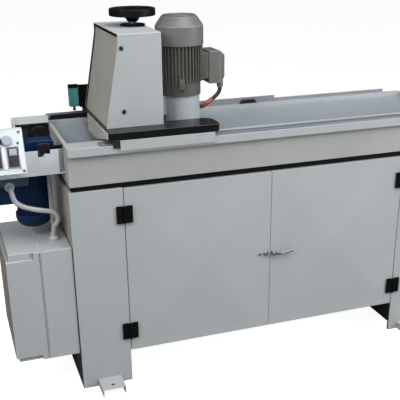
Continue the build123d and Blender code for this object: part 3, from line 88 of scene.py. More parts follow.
# %% Camera
PICTURE = 400
FOCAL_PIXELS = 750.2
SENSOR = 36.0
SHIFT = (-0.008, 0.1055)
SIGHT = 60
EYE = mm(-960.5, -2603, 1560)
YAW, PITCH, ROLL = (math.radians(angle) for angle in (19.11, 22.42, -0.56))

forward = Vector((math.sin(YAW) * math.cos(PITCH), math.cos(YAW) * math.cos(PITCH), -math.sin(PITCH)))
level = Vector((math.cos(YAW), -math.sin(YAW), 0))
upright = level.cross(forward)
across = math.cos(ROLL) * level + math.sin(ROLL) * upright
above = math.cos(ROLL) * upright - math.sin(ROLL) * level
lens = bpy.data.cameras.new("viewpoint")
lens.sensor_fit = "HORIZONTAL"
lens.sensor_width = SENSOR
lens.lens = FOCAL_PIXELS / PICTURE * SENSOR
lens.shift_x, lens.shift_y = SHIFT
lens.clip_end = SIGHT
camera = bpy.data.objects.new("viewpoint", lens)
camera.matrix_world = Matrix.Translation(EYE) @ Matrix((across, above, -forward)).transposed().to_4x4()
bpy.context.scene.collection.objects.link(camera)
bpy.context.scene.camera = camera
print("lens", round(lens.lens, 2), "mm")

# %% [markdown]
# ## A node at a time
# Materials and Geometry Nodes are both trees of nodes. One small function adds a node with its
# settings, and gives each input a plain value or a link. A link comes from one of a node's outputs, or
# from a node itself, which means its first output. A list gives several links to an input that takes
# them. Colours are written as the hex values that a paint chart gives, and one function turns those
# into the linear numbers that the renderer adds up.


# %% Helpers for nodes and colours
def add(tree, kind, inputs=None, **settings):
    """Add a node with its settings, and give each input a value or links from other nodes."""
    made = tree.nodes.new(kind)
    for name, value in settings.items():
        setattr(made, name, value)
    for name, value in (inputs or {}).items():
        for source in value if isinstance(value, list) else [value]:
            if isinstance(source, bpy.types.Node):
                source = source.outputs[0]
            if isinstance(source, bpy.types.NodeSocket):
                tree.links.new(source, made.inputs[name])
            else:
                made.inputs[name].default_value = source
    return made


def colour(text):
    """An sRGB hex colour as linear red, green, blue and alpha."""
    parts = [int(text[i : i + 2], 16) / 255 for i in (1, 3, 5)]
    linear = [part / 12.92 if part <= 0.04045 else ((part + 0.055) / 1.055) ** 2.4 for part in parts]
    return (*linear, 1.0)


# %% [markdown]
# ## What a surface is made of
# No painted or machined surface is one flat colour. Each finish here has two close tones that meet in
# cloudy patches, a gloss that wavers with the same clouds, and a raised grain. The grain can be drawn
# out along one direction, as grinding and rolling marks are. All sizes are in millimetres and are read
# from Object coordinates, so that a pattern keeps its scale and stays on its piece.

# %% A finish
# The noise seldom leaves this range, so the two tones are spread over it.
CLOUD_LOW, CLOUD_HIGH = 0.35, 0.65


def finish(name, tones, patch, gloss, grain=3, depth=0.03, drawn=(1, 1, 1), metal=0, specular=0.5, coat=0):
    """A surface with two tones, a low and a high roughness, and a grain of that size and depth."""
    made = bpy.data.materials.new(name)
    made.use_nodes = True
    tree = made.node_tree
    tree.nodes.clear()
    place = add(tree, "ShaderNodeTexCoord").outputs["Object"]
    along = add(tree, "ShaderNodeMapping", {"Vector": place, "Scale": drawn})
    cloud = add(tree, "ShaderNodeTexNoise", {"Vector": along, "Scale": 1 / (patch * MM), "Detail": 4.0})
    share = add(tree, "ShaderNodeMapRange", {"Value": cloud, "From Min": CLOUD_LOW, "From Max": CLOUD_HIGH})
    pair = {0: share, 6: colour(tones[0]), 7: colour(tones[1])}
    tone = add(tree, "ShaderNodeMix", pair, data_type="RGBA").outputs[2]
    shine = add(tree, "ShaderNodeMapRange", {"Value": cloud, "To Min": gloss[0], "To Max": gloss[1]})
    bumps = add(tree, "ShaderNodeTexNoise", {"Vector": along, "Scale": 1 / (grain * MM), "Detail": 2.0})
    relief = add(tree, "ShaderNodeBump", {"Height": bumps, "Distance": depth * MM})
    look = {"Base Color": tone, "Roughness": shine, "Normal": relief}
    look |= {"Metallic": metal, "Specular IOR Level": specular, "Coat Weight": coat}
    shader = add(tree, "ShaderNodeBsdfPrincipled", look)
    add(tree, "ShaderNodeOutputMaterial", {"Surface": shader})
    return made


def shader_of(made):
    """The node that a finish's look comes together in."""
    return next(node for node in made.node_tree.nodes if node.type == "BSDF_PRINCIPLED")


def shaded_along(made, dark, low, high, axis="Z"):
    """Paint shade into a finish: darker down an axis, from one place in millimetres to a lower one."""
    tree = made.node_tree
    coloured = shader_of(made).inputs["Base Color"]
    place = add(tree, "ShaderNodeTexCoord").outputs["Object"]
    along = add(tree, "ShaderNodeSeparateXYZ", {0: place}).outputs[axis]
    share = add(tree, "ShaderNodeMapRange", {"Value": along, "From Min": low * MM, "From Max": high * MM})
    pair = {0: share, 6: colour(dark), 7: coloured.links[0].from_socket}
    tone = add(tree, "ShaderNodeMix", pair, data_type="RGBA")
    tree.links.new(tone.outputs[2], coloured)


# %% [markdown]
# ## Paint
# The sheets and castings are sprayed with a light grey enamel. It is a satin film with a faint orange
# peel, and the sprayer's passes leave it a little uneven. Real peel is about a millimetre wide, too
# fine to show here, so it is drawn at three. Along the folds the film is thin and rubbed, and a fine
# line of light runs there, so most paints have a second finish for their edges: a paler tone for the
# rubbed paint and a painted highlight, and on the white panel a painted shadow line.

# %% Grey enamels
grey_enamel = finish("sprayed grey enamel", ("#a4a9ab", "#a7acae"), 160, (0.36, 0.5))
# Its edges are rubbed paint with a painted highlight.
grey_wear_and_highlight = finish("grey enamel rubbed at the folds", ("#aeb3b5", "#c3c7c8"), 24, (0.3, 0.42), 3, 0.02)
# The sheets that face left take a warmer, duller tone that paints the warm cast of their shade; their
# edges are rubbed paint with a painted highlight.
warm_shade_enamel = finish("grey enamel with a painted warm shade", ("#a9a79f", "#b1afa7"), 140, (0.45, 0.58))
warm_shade_wear_and_highlight = finish("warm grey enamel rubbed at the folds", ("#aeaca4", "#bdbbb3"), 24, (0.4, 0.5), 3, 0.02)
# The long front of the bed under its rim is painted a touch darker and warmer than the doors, as shade,
# and the plates that carry the drive and the roof of the cover are painted paler, as light. The sides
# that face left, on the legs, the bed's end and the enclosure's lid, and the rear plate under its lip
# are painted dark and warm, as shade, on the legs darkest near the floor.
apron_shade_enamel = finish("sprayed stone grey enamel", ("#9d9f9d", "#a3a4a2"), 160, (0.38, 0.52))
drive_plate_lit_enamel = finish("sprayed pale grey enamel", ("#c6cad0", "#d0d4d9"), 120, (0.4, 0.52))
roof_lit_enamel = finish("sprayed light grey enamel", ("#b2b6bb", "#babec3"), 120, (0.4, 0.52))
side_shade_enamel = finish("grey enamel stained with oil", ("#9a9791", "#a19e98"), 140, (0.5, 0.66), 3, 0.04)
shaded_along(side_shade_enamel, "#2b2823", 140, 330)
lid_shade_enamel = finish("grey enamel with painted brown shade", ("#7d756b", "#867d73"), 120, (0.5, 0.64), 3, 0.04)
lip_shade_enamel = finish("grey enamel under grinding dust", ("#2c302f", "#363a39"), 50, (0.6, 0.75), 3, 0.05)
# Inside, the trough's bluish tone is a painted sky reflection, and it is painted darker towards the
# front as shade.
trough_sky_and_shade_enamel = finish("dulled blue grey enamel", ("#8f989f", "#98a1a8"), 110, (0.44, 0.58))
shaded_along(trough_sky_and_shade_enamel, "#828a91", 20, 190, "Y")
# The strip that carries the trip dogs is a shade darker.
slate_enamel = finish("sprayed slate grey enamel", ("#7d8087", "#878a91"), 120, (0.4, 0.5), 3, 0.02)
print(len(bpy.data.materials), "grey enamels")

# %% Black, cast, blue and white paints
# Black satin enamel over sawn and milled plate: dark, with a soft sheen and dusty patches.
black_enamel = finish(
    "brushed black satin enamel", ("#08090a", "#101113"), 60, (0.46, 0.6), 4, 0.05, specular=0.3
)
gloss_black = finish("gloss black enamel", ("#0c0d0e", "#131415"), 60, (0.16, 0.26), 4, specular=0.2)
matt_black = finish(
    "stoved matt black enamel", ("#030303", "#070707"), 40, (0.66, 0.8), 3, 0.04, specular=0.12
)
# The black edges are rubbed paint with a painted highlight.
black_wear_and_highlight = finish("black enamel rubbed at the edges", ("#191a1c", "#2e3033"), 14, (0.3, 0.4), 4, 0.02)
# Motor castings have a coarser skin under a thin grey coat; their edges are rubbed paint with a painted
# highlight.
cast_enamel = finish("grey enamel on cast aluminium", ("#4b4b48", "#555551"), 40, (0.45, 0.6), 2.5, 0.15)
cast_wear_and_highlight = finish("cast enamel rubbed at the edges", ("#6a6a67", "#7e7e79"), 14, (0.4, 0.5), 2.5, 0.08)
cowl_enamel = finish("grey enamel on pressed steel", ("#646562", "#6c6d6a"), 90, (0.34, 0.46))
# The drive is a deep blue, and one lid a lighter blue that paints the light falling on it. The panel
# has a hard, even powder coat.
blue_enamel = finish(
    "gloss blue machine enamel", ("#09213f", "#0d2a50"), 50, (0.34, 0.48), 3, 0.06, specular=0.16
)
# The blue edges are rubbed paint with a painted highlight.
blue_wear_and_highlight = finish("blue enamel rubbed at the edges", ("#0d2850", "#15396e"), 12, (0.3, 0.42))
lid_light_blue = finish("blue machine enamel with painted light", ("#2f4a60", "#3a566c"), 40, (0.36, 0.5), 3, 0.05)
white_enamel = finish("white powder coat", ("#d0dadd", "#d8e1e4"), 60, (0.3, 0.4), 2.5, 0.04)
# The panel's edges take a painted shadow line.
white_edge_shade = finish("powder coat at the edges", ("#a9b4bc", "#c2ccd3"), 20, (0.3, 0.4), 2.5, 0.02)
print(len(bpy.data.materials), "materials with the other paints")

# %% [markdown]
# ## Metal, rubber and plastic
# Bare metal takes its colour from the metallic lobe, and its grain shows how it was cut: the ways are
# ground along their length, so their noise is drawn out in X. Rubber is nearly black and matt, moulded
# plastics have a fine even sparkle from the mould, and the wheel is bonded grit with visible grains.

# %% Metals and mouldings
# Grinding leaves long scratches that smear the light, turning leaves close rings that glitter.
ALONG_X = (0.02, 1, 1)
ground_steel = finish("ground steel", ("#8a8d96", "#9da0a8"), 6, (0.42, 0.56), 1.5, 0.02, ALONG_X, metal=0.7)
turned_steel = finish("turned steel", ("#8f9297", "#a9acb1"), 5, (0.2, 0.36), 1.2, 0.02, (1, 1, 6), metal=1)
# Chrome mirrors the room, zinc is brighter and softer, and oil makes the chain dark with wet glints.
chrome = finish("polished chrome plate", ("#75797c", "#868a8d"), 12, (0.14, 0.22), 3, 0.01, metal=1)
dark_steel = finish("burnished dark steel", ("#3b3e40", "#56595b"), 9, (0.26, 0.42), 2, metal=0.85)
chain_steel = finish("oiled chain steel", ("#26241f", "#3a372f"), 8, (0.28, 0.5), 2, 0.04, metal=0.9)
zinc = finish("bright zinc plate", ("#9fa4a8", "#b9bcbc"), 7, (0.26, 0.4), 2, 0.02, metal=1)
# Rubber swallows light, phenolic and nylon keep a dull gleam.
seal_rubber = finish(
    "pressed black rubber", ("#070808", "#0d0e0e"), 30, (0.64, 0.8), 2, 0.08, specular=0.2
)
phenolic = finish(
    "moulded black phenolic", ("#060708", "#0c0d0f"), 30, (0.4, 0.52), 3, 0.02, specular=0.18
)
black_nylon = finish("moulded black nylon", ("#121213", "#1b1b1d"), 20, (0.42, 0.55), 1.5, 0.04)
violet_nylon = finish("moulded grey violet nylon", ("#332f38", "#3f3a44"), 16, (0.3, 0.42), 1.5)
grey_nylon = finish("moulded grey nylon", ("#adb1b1", "#b9bcbb"), 16, (0.3, 0.42), 1.5)
# Resin is a little glossier, and a lens has a clear coat over a milky body.
green_resin = finish("moulded green resin", ("#3b7c76", "#4a8f88"), 22, (0.34, 0.5), 2, 0.05)
red_resin = finish("moulded red resin", ("#7a1613", "#8e1d18"), 18, (0.22, 0.34), 2, coat=0.2)
lamp_lens = finish("moulded lilac lens", ("#a3a4b8", "#b6b7c8"), 10, (0.12, 0.2), 3, 0.1, coat=0.5)
window_lens = finish("moulded ice blue lens", ("#98a5b1", "#a6b2bd"), 10, (0.16, 0.24), 3, 0.1, coat=0.3)
# Vinyl leaves its die with a satin skin. Bonded grit is matt, and its grains show.
conduit_vinyl = finish("extruded grey vinyl", ("#a9acae", "#b4b6b7"), 30, (0.4, 0.55), 2, 0.04)
cable_vinyl = finish("extruded black vinyl", ("#1d2325", "#272f31"), 30, (0.36, 0.5), 2, 0.04)
sleeve_vinyl = finish("shrunk orange vinyl", ("#a65c4d", "#b36856"), 14, (0.36, 0.5), 2, 0.05)
bonded_grit = finish("bonded corundum grit", ("#b9b2a6", "#d9d4c8"), 2.2, (0.8, 0.95), 1.6, 0.5)
print(len(bpy.data.materials), "materials in all")

# %% [markdown]
# ## Two cords
# A black cable runs from the motor's terminal box round the head, partly inside an orange sleeve, and a
# grey ribbed conduit loops from the drive motor down to the electrical box. Each follows the drawing's
# route as a NURBS line, which bends smoothly where straight runs would look like wire. The cable is
# that line with a round bevel.


# %% Steered lines
def placed(name, data):
    """A new object of the scene."""
    made = bpy.data.objects.new(name, data)
    bpy.context.scene.collection.objects.link(made)
    return made


def steered(name, points):
    """A NURBS line that route points in millimetres steer."""
    line = bpy.data.curves.new(name, "CURVE")
    line.dimensions = "3D"
    spline = line.splines.new("NURBS")
    spline.points.add(len(points) - 1)
    for knot, point in zip(spline.points, points):
        knot.co = (*mm(*point), 1.0)
    spline.order_u = 3
    spline.use_endpoint_u = True
    return line


def thickened(line, radius, facets):
    """Give a line a round bevel of that radius in millimetres, closed at its ends."""
    line.bevel_depth = radius * MM
    line.bevel_resolution = facets
    line.use_fill_caps = True


def followed(line):
    """The mesh of a line, read from its own curve."""
    guide = placed("guide", line)
    thread = bpy.data.meshes.new_from_object(guide)
    bpy.data.objects.remove(guide)
    return thread


def run(points):
    """The length along points."""
    return sum((after - before).length for before, after in zip(points, points[1:]))


# %% The motor's cable
CABLE_ROUTE = (
    (-23, -95, 1053), (-23, -95, 1037), (-47, -95, 1015), (-80, -84, 990), (-76, -45, 975), (-84, 0, 970),
    (-120, 45, 975), (-170, 64, 992), (-215, 68, 1000), (-255.5, 68, 1000),
)
CABLE_RADIUS = 7
cable_line = steered("motor_cable_line", CABLE_ROUTE)
cable_points = [vertex.co.copy() for vertex in followed(cable_line).vertices]
thickened(cable_line, CABLE_RADIUS, facets=4)
cable_line.materials.append(cable_vinyl)
cable = placed("finished_motor_cable", cable_line)
print("cable", round(run(cable_points), 3), "m on", len(cable_points), "points")

# %% [markdown]
# ## Ribs by Geometry Nodes
# A flexible conduit is a tube of hundreds of small waves, which is what Geometry Nodes are for. The
# tree takes a line of points, divides it into half waves, makes every second ring narrower, and sweeps
# a circle along it. Its sizes are named inputs, so the same tree makes the loop, the straight conduit
# and the smooth sleeve. Afterwards the result is kept as a plain mesh and the modifier goes.


# %% Helpers for trees of Geometry Nodes
def settle(obj):
    """Keep what an object's modifiers make as its plain mesh."""
    graph = bpy.context.evaluated_depsgraph_get()
    obj.data = bpy.data.meshes.new_from_object(obj.evaluated_get(graph))
    obj.modifiers.clear()
    return obj


def start_tree(name, **sizes):
    """A new tree with named inputs, and the sockets they come in on."""
    tree = bpy.data.node_groups.new(name, "GeometryNodeTree")
    for label, kind in {"Geometry": "Geometry", **sizes}.items():
        tree.interface.new_socket(label.replace("_", " "), in_out="INPUT", socket_type="NodeSocket" + kind)
    tree.interface.new_socket("Geometry", in_out="OUTPUT", socket_type="NodeSocketGeometry")
    return tree, add(tree, "NodeGroupInput").outputs


def end_tree(tree, geometry, material):
    """Close a tree: real meshes instead of instances, and one material."""
    real = add(tree, "GeometryNodeRealizeInstances", {"Geometry": geometry})
    painted = add(tree, "GeometryNodeSetMaterial", {"Geometry": real, "Material": material})
    add(tree, "NodeGroupOutput", {0: painted})
    print(tree.name, "has", len(tree.nodes), "nodes")
    return tree


def grown(name, points, tree, facing=(), joined=False, **settings):
    """Run a tree on points, with its inputs by name, in millimetres, and keep the result as a mesh."""
    mesh = bpy.data.meshes.new(name)
    edges = [(i, i + 1) for i in range(len(points) - 1)] if joined else []
    mesh.from_pydata(points, edges, [])
    if facing:
        ways = mesh.attributes.new("facing", "FLOAT_VECTOR", "POINT")
        for row, way in zip(ways.data, facing):
            row.vector = way
    made = placed(name, mesh)
    modifier = made.modifiers.new(tree.name, "NODES")
    modifier.node_group = tree
    in_metres = {"NodeSocketFloat": lambda value: value * MM, "NodeSocketVector": lambda value: mm(*value)}
    for item in tree.interface.items_tree:
        key = item.name.replace(" ", "_")
        if item.in_out == "INPUT" and key in settings:
            convert = in_metres.get(item.socket_type)
            modifier[item.identifier] = convert(settings[key]) if convert else settings[key]
    return settle(made)


# %% The ribbed tube
tree, given = start_tree(
    "ribbed tube", Radius="Float", Rib_depth="Float", Half_wave="Float", Around="Int", Material="Material"
)
line = add(tree, "GeometryNodeMeshToCurve", {"Mesh": given["Geometry"]})
spacing = {"Curve": line, "Length": given["Half wave"]}
rings = add(tree, "GeometryNodeResampleCurve", spacing, mode="LENGTH")
number = add(tree, "GeometryNodeInputIndex")
odd = add(tree, "ShaderNodeMath", {0: number, 1: 2.0}, operation="MODULO")
groove = add(tree, "ShaderNodeMath", {0: odd, 1: given["Rib depth"]}, operation="MULTIPLY")
reach = add(tree, "ShaderNodeMath", {0: given["Radius"], 1: groove}, operation="SUBTRACT")
ring = add(tree, "GeometryNodeCurvePrimitiveCircle", {"Resolution": given["Around"], "Radius": 1.0})
sweep = {"Curve": rings, "Profile Curve": ring, "Scale": reach, "Fill Caps": True}
tube = add(tree, "GeometryNodeCurveToMesh", sweep)
ribbed_tube = end_tree(tree, tube, given["Material"])


# %% Dressing a piece
def dressed(made, body, slot, *nodes):
    """Let a piece ride on a body and stand for CAD nodes; the slot is not used."""
    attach(made, body)
    if nodes:
        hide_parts(*nodes)
    print(made.name, "rides on", body)
    return made


def smoothed(made, crease=32):
    """Shade a piece smooth, with sharp edges where faces meet at more than a crease angle."""
    made.data.shade_smooth()
    made.data.set_sharp_from_angle(angle=math.radians(crease))
    return made


# %% The conduit
CONDUIT_ROUTE = (
    (-785.5, -106, 768), (-785.5, -136, 768), (-777.5, -136, 724), (-745.5, -136, 702), (-695, -136, 686),
    (-647, -136, 675), (-634, -133, 641), (-655.5, -120, 612), (-655.5, -120, 581),
)
CONDUIT_RADIUS = 9
TUBE_CREASE = 60
RIBS = {"joined": True, "Rib_depth": 0.9, "Half_wave": 2.2, "Around": 14, "Material": conduit_vinyl}
conduit_points = [vertex.co.copy() for vertex in followed(steered("conduit_line", CONDUIT_ROUTE)).vertices]
conduit = grown("finished_motor_conduit", conduit_points, ribbed_tube, Radius=CONDUIT_RADIUS, **RIBS)
dressed(smoothed(conduit, TUBE_CREASE), "frame", "conduit_grey", "motor_conduit")
print("conduit", round(run(conduit_points), 3), "m")

# %% The sleeve on the cable
SLEEVE_SPAN = (0.050, 0.104)
SLEEVE_WALL = 1.5
walked = [run(cable_points[: i + 1]) for i in range(len(cable_points))]
covered = [point for point, at in zip(cable_points, walked) if SLEEVE_SPAN[0] <= at <= SLEEVE_SPAN[1]]
sleeve = grown(
    "cable_sleeve", covered, ribbed_tube, joined=True, Radius=CABLE_RADIUS + SLEEVE_WALL, Rib_depth=0.0,
    Half_wave=4, Around=20, Material=sleeve_vinyl,
)
dressed(smoothed(sleeve, TUBE_CREASE), "head", "cable_black")
dressed(cable, "head", "cable_black", "motor_cable")
print("sleeve", round(run(covered), 3), "m")

# %% [markdown]
# ## Rounded edges
# A drawing's edges are perfectly sharp, and no real edge is: sheet is folded round a radius, castings
# are moulded, bars are broken with a file. Such an edge catches a thin line of light, which is half of
# what makes a machine look real. A copy of each CAD mesh is merged into whole faces, and a Bevel
# modifier rounds its outer edges. How far an edge may be rounded depends on the room its two faces
# have, so thin sheet edges get little and broad faces get all. The bevel's own faces take the edge
# finish: rubbed paint with a painted highlight, or a painted shadow line on the white panel. Where two
# bevels meet, a face can fold over itself and turn black. Such a copy is made again: with its hollow
# faces split first, then with a smaller radius, until nothing folds.


# %% Room beside an edge
def patches(shape, crease):
    """Number the faces of a mesh by smooth patch, and measure each patch's narrow width."""
    patch_of, rooms = {}, []
    for first in shape.faces:
        if first in patch_of:
            continue
        patch_of[first] = len(rooms)
        waiting, area, rim = [first], 0.0, 0.0
        while waiting:
            face = waiting.pop()
            area += face.calc_area()
            for edge in face.edges:
                flat = len(edge.link_faces) == 2 and edge.calc_face_angle() < crease
                rim += 0 if flat else edge.calc_length()
                for other in edge.link_faces if flat else ():
                    if other not in patch_of:
                        patch_of[other] = len(rooms)
                        waiting.append(other)
        rooms.append(2 * area / rim if rim else 1.0)
    return patch_of, rooms


# %% Coats and bevels
def coated(name, shape, coats):
    """Make an object of a mesh, with its finishes."""
    mesh = bpy.data.meshes.new(name)
    shape.to_mesh(mesh)
    shape.free()
    for coat in coats:
        mesh.materials.append(coat)
    return placed(name, mesh)


def bevelled(made, width, **settings):
    """Round a piece's edges by a width in millimetres, and keep the result."""
    bevel = made.modifiers.new("rounded edges", "BEVEL")
    bevel.width = width * MM
    bevel.segments = 2
    for name, value in settings.items():
        setattr(bevel, name, value)
    return settle(made)


# %% Rounding a CAD node
MERGE = 1e-6
FLAT = math.radians(0.5)
CREASE = math.radians(22)
ROOM_SHARE = 0.3


def rounded(node, radius, coats, flat, faces):
    """A copy of a CAD node with rounded outer edges, on whole faces, split faces or its own triangles."""
    shape = bmesh.new()
    shape.from_mesh(frame["nodes"][node].data)
    bmesh.ops.remove_doubles(shape, verts=shape.verts, dist=MERGE)
    if faces != "triangles":
        bmesh.ops.dissolve_limit(shape, angle_limit=FLAT, verts=shape.verts, edges=shape.edges)
    if faces == "split":
        bmesh.ops.connect_verts_concave(shape, faces=shape.faces)
    weight = shape.edges.layers.float.new("bevel_weight_edge")
    patch_of, rooms = patches(shape, CREASE)
    for face in shape.faces:
        face.smooth = not flat
    for edge in shape.edges:
        sharp = len(edge.link_faces) == 2 and edge.calc_face_angle() >= CREASE
        edge.smooth = not sharp
        if sharp and edge.is_convex:
            room = min(rooms[patch_of[face]] for face in edge.link_faces)
            edge[weight] = min(1.0, ROOM_SHARE * room / (radius * MM))
    made = coated("finished_" + node, shape, coats)
    return bevelled(
        made, radius, limit_method="WEIGHT", use_clamp_overlap=False, harden_normals=not flat, material=1
    )


# %% Softening without folds
TRIES = ((1.0, "whole"), (1.0, "split"), (0.6, "whole"), (0.6, "split"), (0.3, "split"), (0.3, "triangles"))
FOLD_LIMIT = 10.0
TURNED_AWAY = 0.5


def folded(mesh):
    """The area in square millimetres of triangles that look away from their own face."""
    mesh.calc_loop_triangles()
    area = 0.0
    for part in mesh.loop_triangles:
        if part.normal.dot(mesh.polygons[part.polygon_index].normal) < TURNED_AWAY:
            area += part.area
    return area / MM**2


def softened(node, radius, coat, edge_coat=None, flat=False):
    """Stand a rounded copy in for a CAD node, with the largest radius that folds no face."""
    for share, faces in TRIES:
        made = rounded(node, share * radius, (coat, edge_coat or coat), flat, faces)
        fold = folded(made.data)
        if fold < FOLD_LIMIT or (share, faces) == TRIES[-1]:
            break
        bpy.data.objects.remove(made)
    if (share, faces) != TRIES[0]:
        print(node, "rounded at", round(share * radius, 2), "mm on", faces, "faces:", round(fold, 2))
    made.name = "finished_" + node
    return dressed(made, body_of[node], slot_of[node], node)


# %% [markdown]
# ## The sheets, castings and bars
# Each row names nodes of the drawing with their finish, the finish of their edges and edge radius in
# millimetres: folded sheet has two or so, castings more, cut plate less. An edge finish is rubbed paint
# with a painted highlight, or a painted shadow line on the white panel.

# %% Every softened node
ROUNDED = (
    (grey_enamel, grey_wear_and_highlight, 2.2, ("enclosure_lid", "head_cover")),
    (grey_enamel, None, 1.2, ("left_leg", "right_leg", "left_door", "right_door")),
    (grey_enamel, grey_wear_and_highlight, 1.2, ("foot_lugs", "enclosure_body", "cabinet_floor", "cabinet_back")),
    # The drive's plates are painted paler, as light.
    (drive_plate_lit_enamel, None, 1.2, ("drive_bracket",)),
    (grey_enamel, grey_wear_and_highlight, 3.0, ("bed_brackets", "head_slide", "column")),
    (grey_enamel, None, 2.0, ("bed",)),
    (grey_enamel, grey_wear_and_highlight, 1.0, ("carriage_skirt", "rear_rail")),
    (slate_enamel, grey_wear_and_highlight, 1.0, ("trip_rail",)),
    # The sheets that face left take a painted warm shade.
    (warm_shade_enamel, warm_shade_wear_and_highlight, 1.0, ("cover_side_panel", "carriage_apron")),
    (gloss_black, black_wear_and_highlight, 2.0, ("carriage_base",)),
    (black_enamel, black_wear_and_highlight, 2.0, ("clutch_lever",)),
    (matt_black, None, 1.0, (
        "leg_hinge_leaves", "left_hinge_leaves", "right_hinge_leaves", "switch_bracket",
    )),
    (black_enamel, black_wear_and_highlight, 1.0, ("left_trip_dog", "right_trip_dog")),
    (phenolic, None, 4.0, ("handwheel",)),
    (ground_steel, None, 0.8, ("front_rail", "knife_bar", "knife_clamp")),
    (turned_steel, None, 0.8, ("table_lock", "spindle_shaft", "feed_screw", "limit_plunger")),
    (turned_steel, None, 0.6, ("drive_sprocket", "idler_sprocket")),
    # The black seal fills the gap between bed and cabinet and paints its shade.
    (seal_rubber, None, 1.5, ("bed_seal",)),
    (cast_enamel, cast_wear_and_highlight, 0.8, ("grinding_motor",)),
    (cowl_enamel, cast_wear_and_highlight, 2.5, ("motor_cowl", "terminal_box")),
    (blue_enamel, blue_wear_and_highlight, 1.5, ("drive_motor", "gearbox")),
    (green_resin, None, 2.0, ("limit_switch",)),
    (white_enamel, white_edge_shade, 1.2, ("control_box", "control_panel")),
    (violet_nylon, None, 2.0, ("left_rocker", "right_rocker")),
    (black_nylon, None, 1.5, ("guide_pads", "contactors", "motor_fan")),
    (red_resin, None, 3.5, ("emergency_stop",)),
    (bonded_grit, None, 1.5, ("grinding_wheel",)),
)
finished = {}
for coat, edge_coat, radius, nodes in ROUNDED:
    for node in nodes:
        finished[node] = softened(node, radius, coat, edge_coat, flat=node.endswith("_door"))
print(len(finished), "nodes softened,", sum(len(piece.data.polygons) for piece in finished.values()), "faces")

# %% [markdown]
# ## Turned and cut pieces
# Bosses, glands and rings are turned on a lathe, so they are drawn as a lathe sees them: rows of radius
# and height, swung once round an axis. Strips and levers are cut from plate: an outline, and how thick
# it is. Both kinds are added to one mesh until a piece is whole.

# %% Lathe and plate
UP, DOWN, FORWARD, LEFT, RIGHT = (0, 0, 1), (0, 0, -1), (0, -1, 0), (-1, 0, 0), (1, 0, 0)


def turn(shape, rows, at, axis=UP, layer=0, around=32):
    """Add a turned form to a mesh, from rows of radius and height in millimetres."""
    swing = Vector(UP).rotation_difference(Vector(axis)).to_matrix().to_4x4()
    place = Matrix.Translation(mm(*at)) @ swing
    angles = [2 * math.pi * i / around for i in range(around)]
    rings = [
        [shape.verts.new(place @ mm(radius * math.cos(a), radius * math.sin(a), height)) for a in angles]
        for radius, height in rows
    ]
    for lower, upper in zip(rings, rings[1:]):
        for i in range(around):
            face = shape.faces.new((lower[i - 1], lower[i], upper[i], upper[i - 1]))
            face.material_index = layer
    bmesh.ops.remove_doubles(shape, verts=[vertex for ring in rings for vertex in ring], dist=MERGE)


def cut(shape, outline, depth):
    """Add a flat piece to a mesh: its outline and the way it is thick, in millimetres."""
    near = [shape.verts.new(mm(*point)) for point in outline]
    far = [shape.verts.new(mm(*point) + mm(*depth)) for point in outline]
    for end in (near, far):
        shape.faces.new(end)
    for i in range(len(near)):
        shape.faces.new((near[i - 1], near[i], far[i], far[i - 1]))


# %% Finished piece
BROKEN_EDGE = math.radians(40)


def built(name, shape, *coats, edge=0.0):
    """Make an object of a mesh, with its finishes and with broken edges of that width."""
    bmesh.ops.recalc_face_normals(shape, faces=shape.faces)
    made = coated(name, shape, coats)
    if edge:
        bevelled(made, edge, limit_method="ANGLE", angle_limit=BROKEN_EDGE)
    return smoothed(made)


def plated(name, body, slot, coat, *plates, edge=0.0):
    """A dressed piece of plates, each with its outline and the way it is thick."""
    shape = bmesh.new()
    for outline, depth in plates:
        cut(shape, outline, depth)
    return dressed(built(name, shape, coat, edge=edge), body, slot)


def bar(wide, deep, tall):
    """The outline and depth of a square bar, from its start and end in X, Y and Z."""
    left, right = wide
    front, back = deep
    foot, head = tall
    outline = ((left, front, foot), (right, front, foot), (right, back, foot), (left, back, foot))
    return outline, (0, 0, head - foot)


def lathed(name, body, slot, coat, rows, *places, axis=UP, around=32, nodes=()):
    """A dressed piece of one turned form, repeated at each place."""
    shape = bmesh.new()
    for at in places:
        turn(shape, rows, at, axis, around=around)
    return dressed(built(name, shape, coat), body, slot, *nodes)


# %% [markdown]
# ## A second coat by face
# Some sheets are painted darker or lighter on part of their faces: painted shade and painted light.
# Instead of cutting the mesh, a second finish is added to the piece and given to the faces that pass a
# test.

# %% Faces with another coat
# A face looks along an axis when its normal has the first share of it, and overhangs when its normal's
# height is under the second. The places are in millimetres.
SQUARE, OVERHANG = 0.9, -0.5
ROOF, FRONT_TOP, BED_END, REAR_PLATE, LIP_SHADE_TOP = 1255, 880, -600, 100, 921
TROUGH_FRONT, TROUGH_BACK, TROUGH_TOP = -146, 212, 905


def recoated(node, coat, test):
    """Give another coat to a node's faces whose middle, in millimetres, and normal pass a test."""
    mesh = finished[node].data
    mesh.materials.append(coat)
    chosen = [face for face in mesh.polygons if test(face.center / MM, face.normal)]
    for face in chosen:
        face.material_index = len(mesh.materials) - 1
    print(node, "has", len(chosen), "faces in", coat.name)


def in_trough(middle, normal):
    """Whether a face of the bed is inside the trough, apart from its ends and what looks down."""
    inside = TROUGH_FRONT < middle.y < TROUGH_BACK and middle.z < TROUGH_TOP
    return inside and abs(normal.x) < SQUARE and normal.z > OVERHANG


def under_lip_shade(middle, normal):
    """Whether a face is on the front of the drive's rear plate, under its lip, where shade is painted."""
    return normal.y < -SQUARE and middle.y > REAR_PLATE and middle.z < LIP_SHADE_TOP


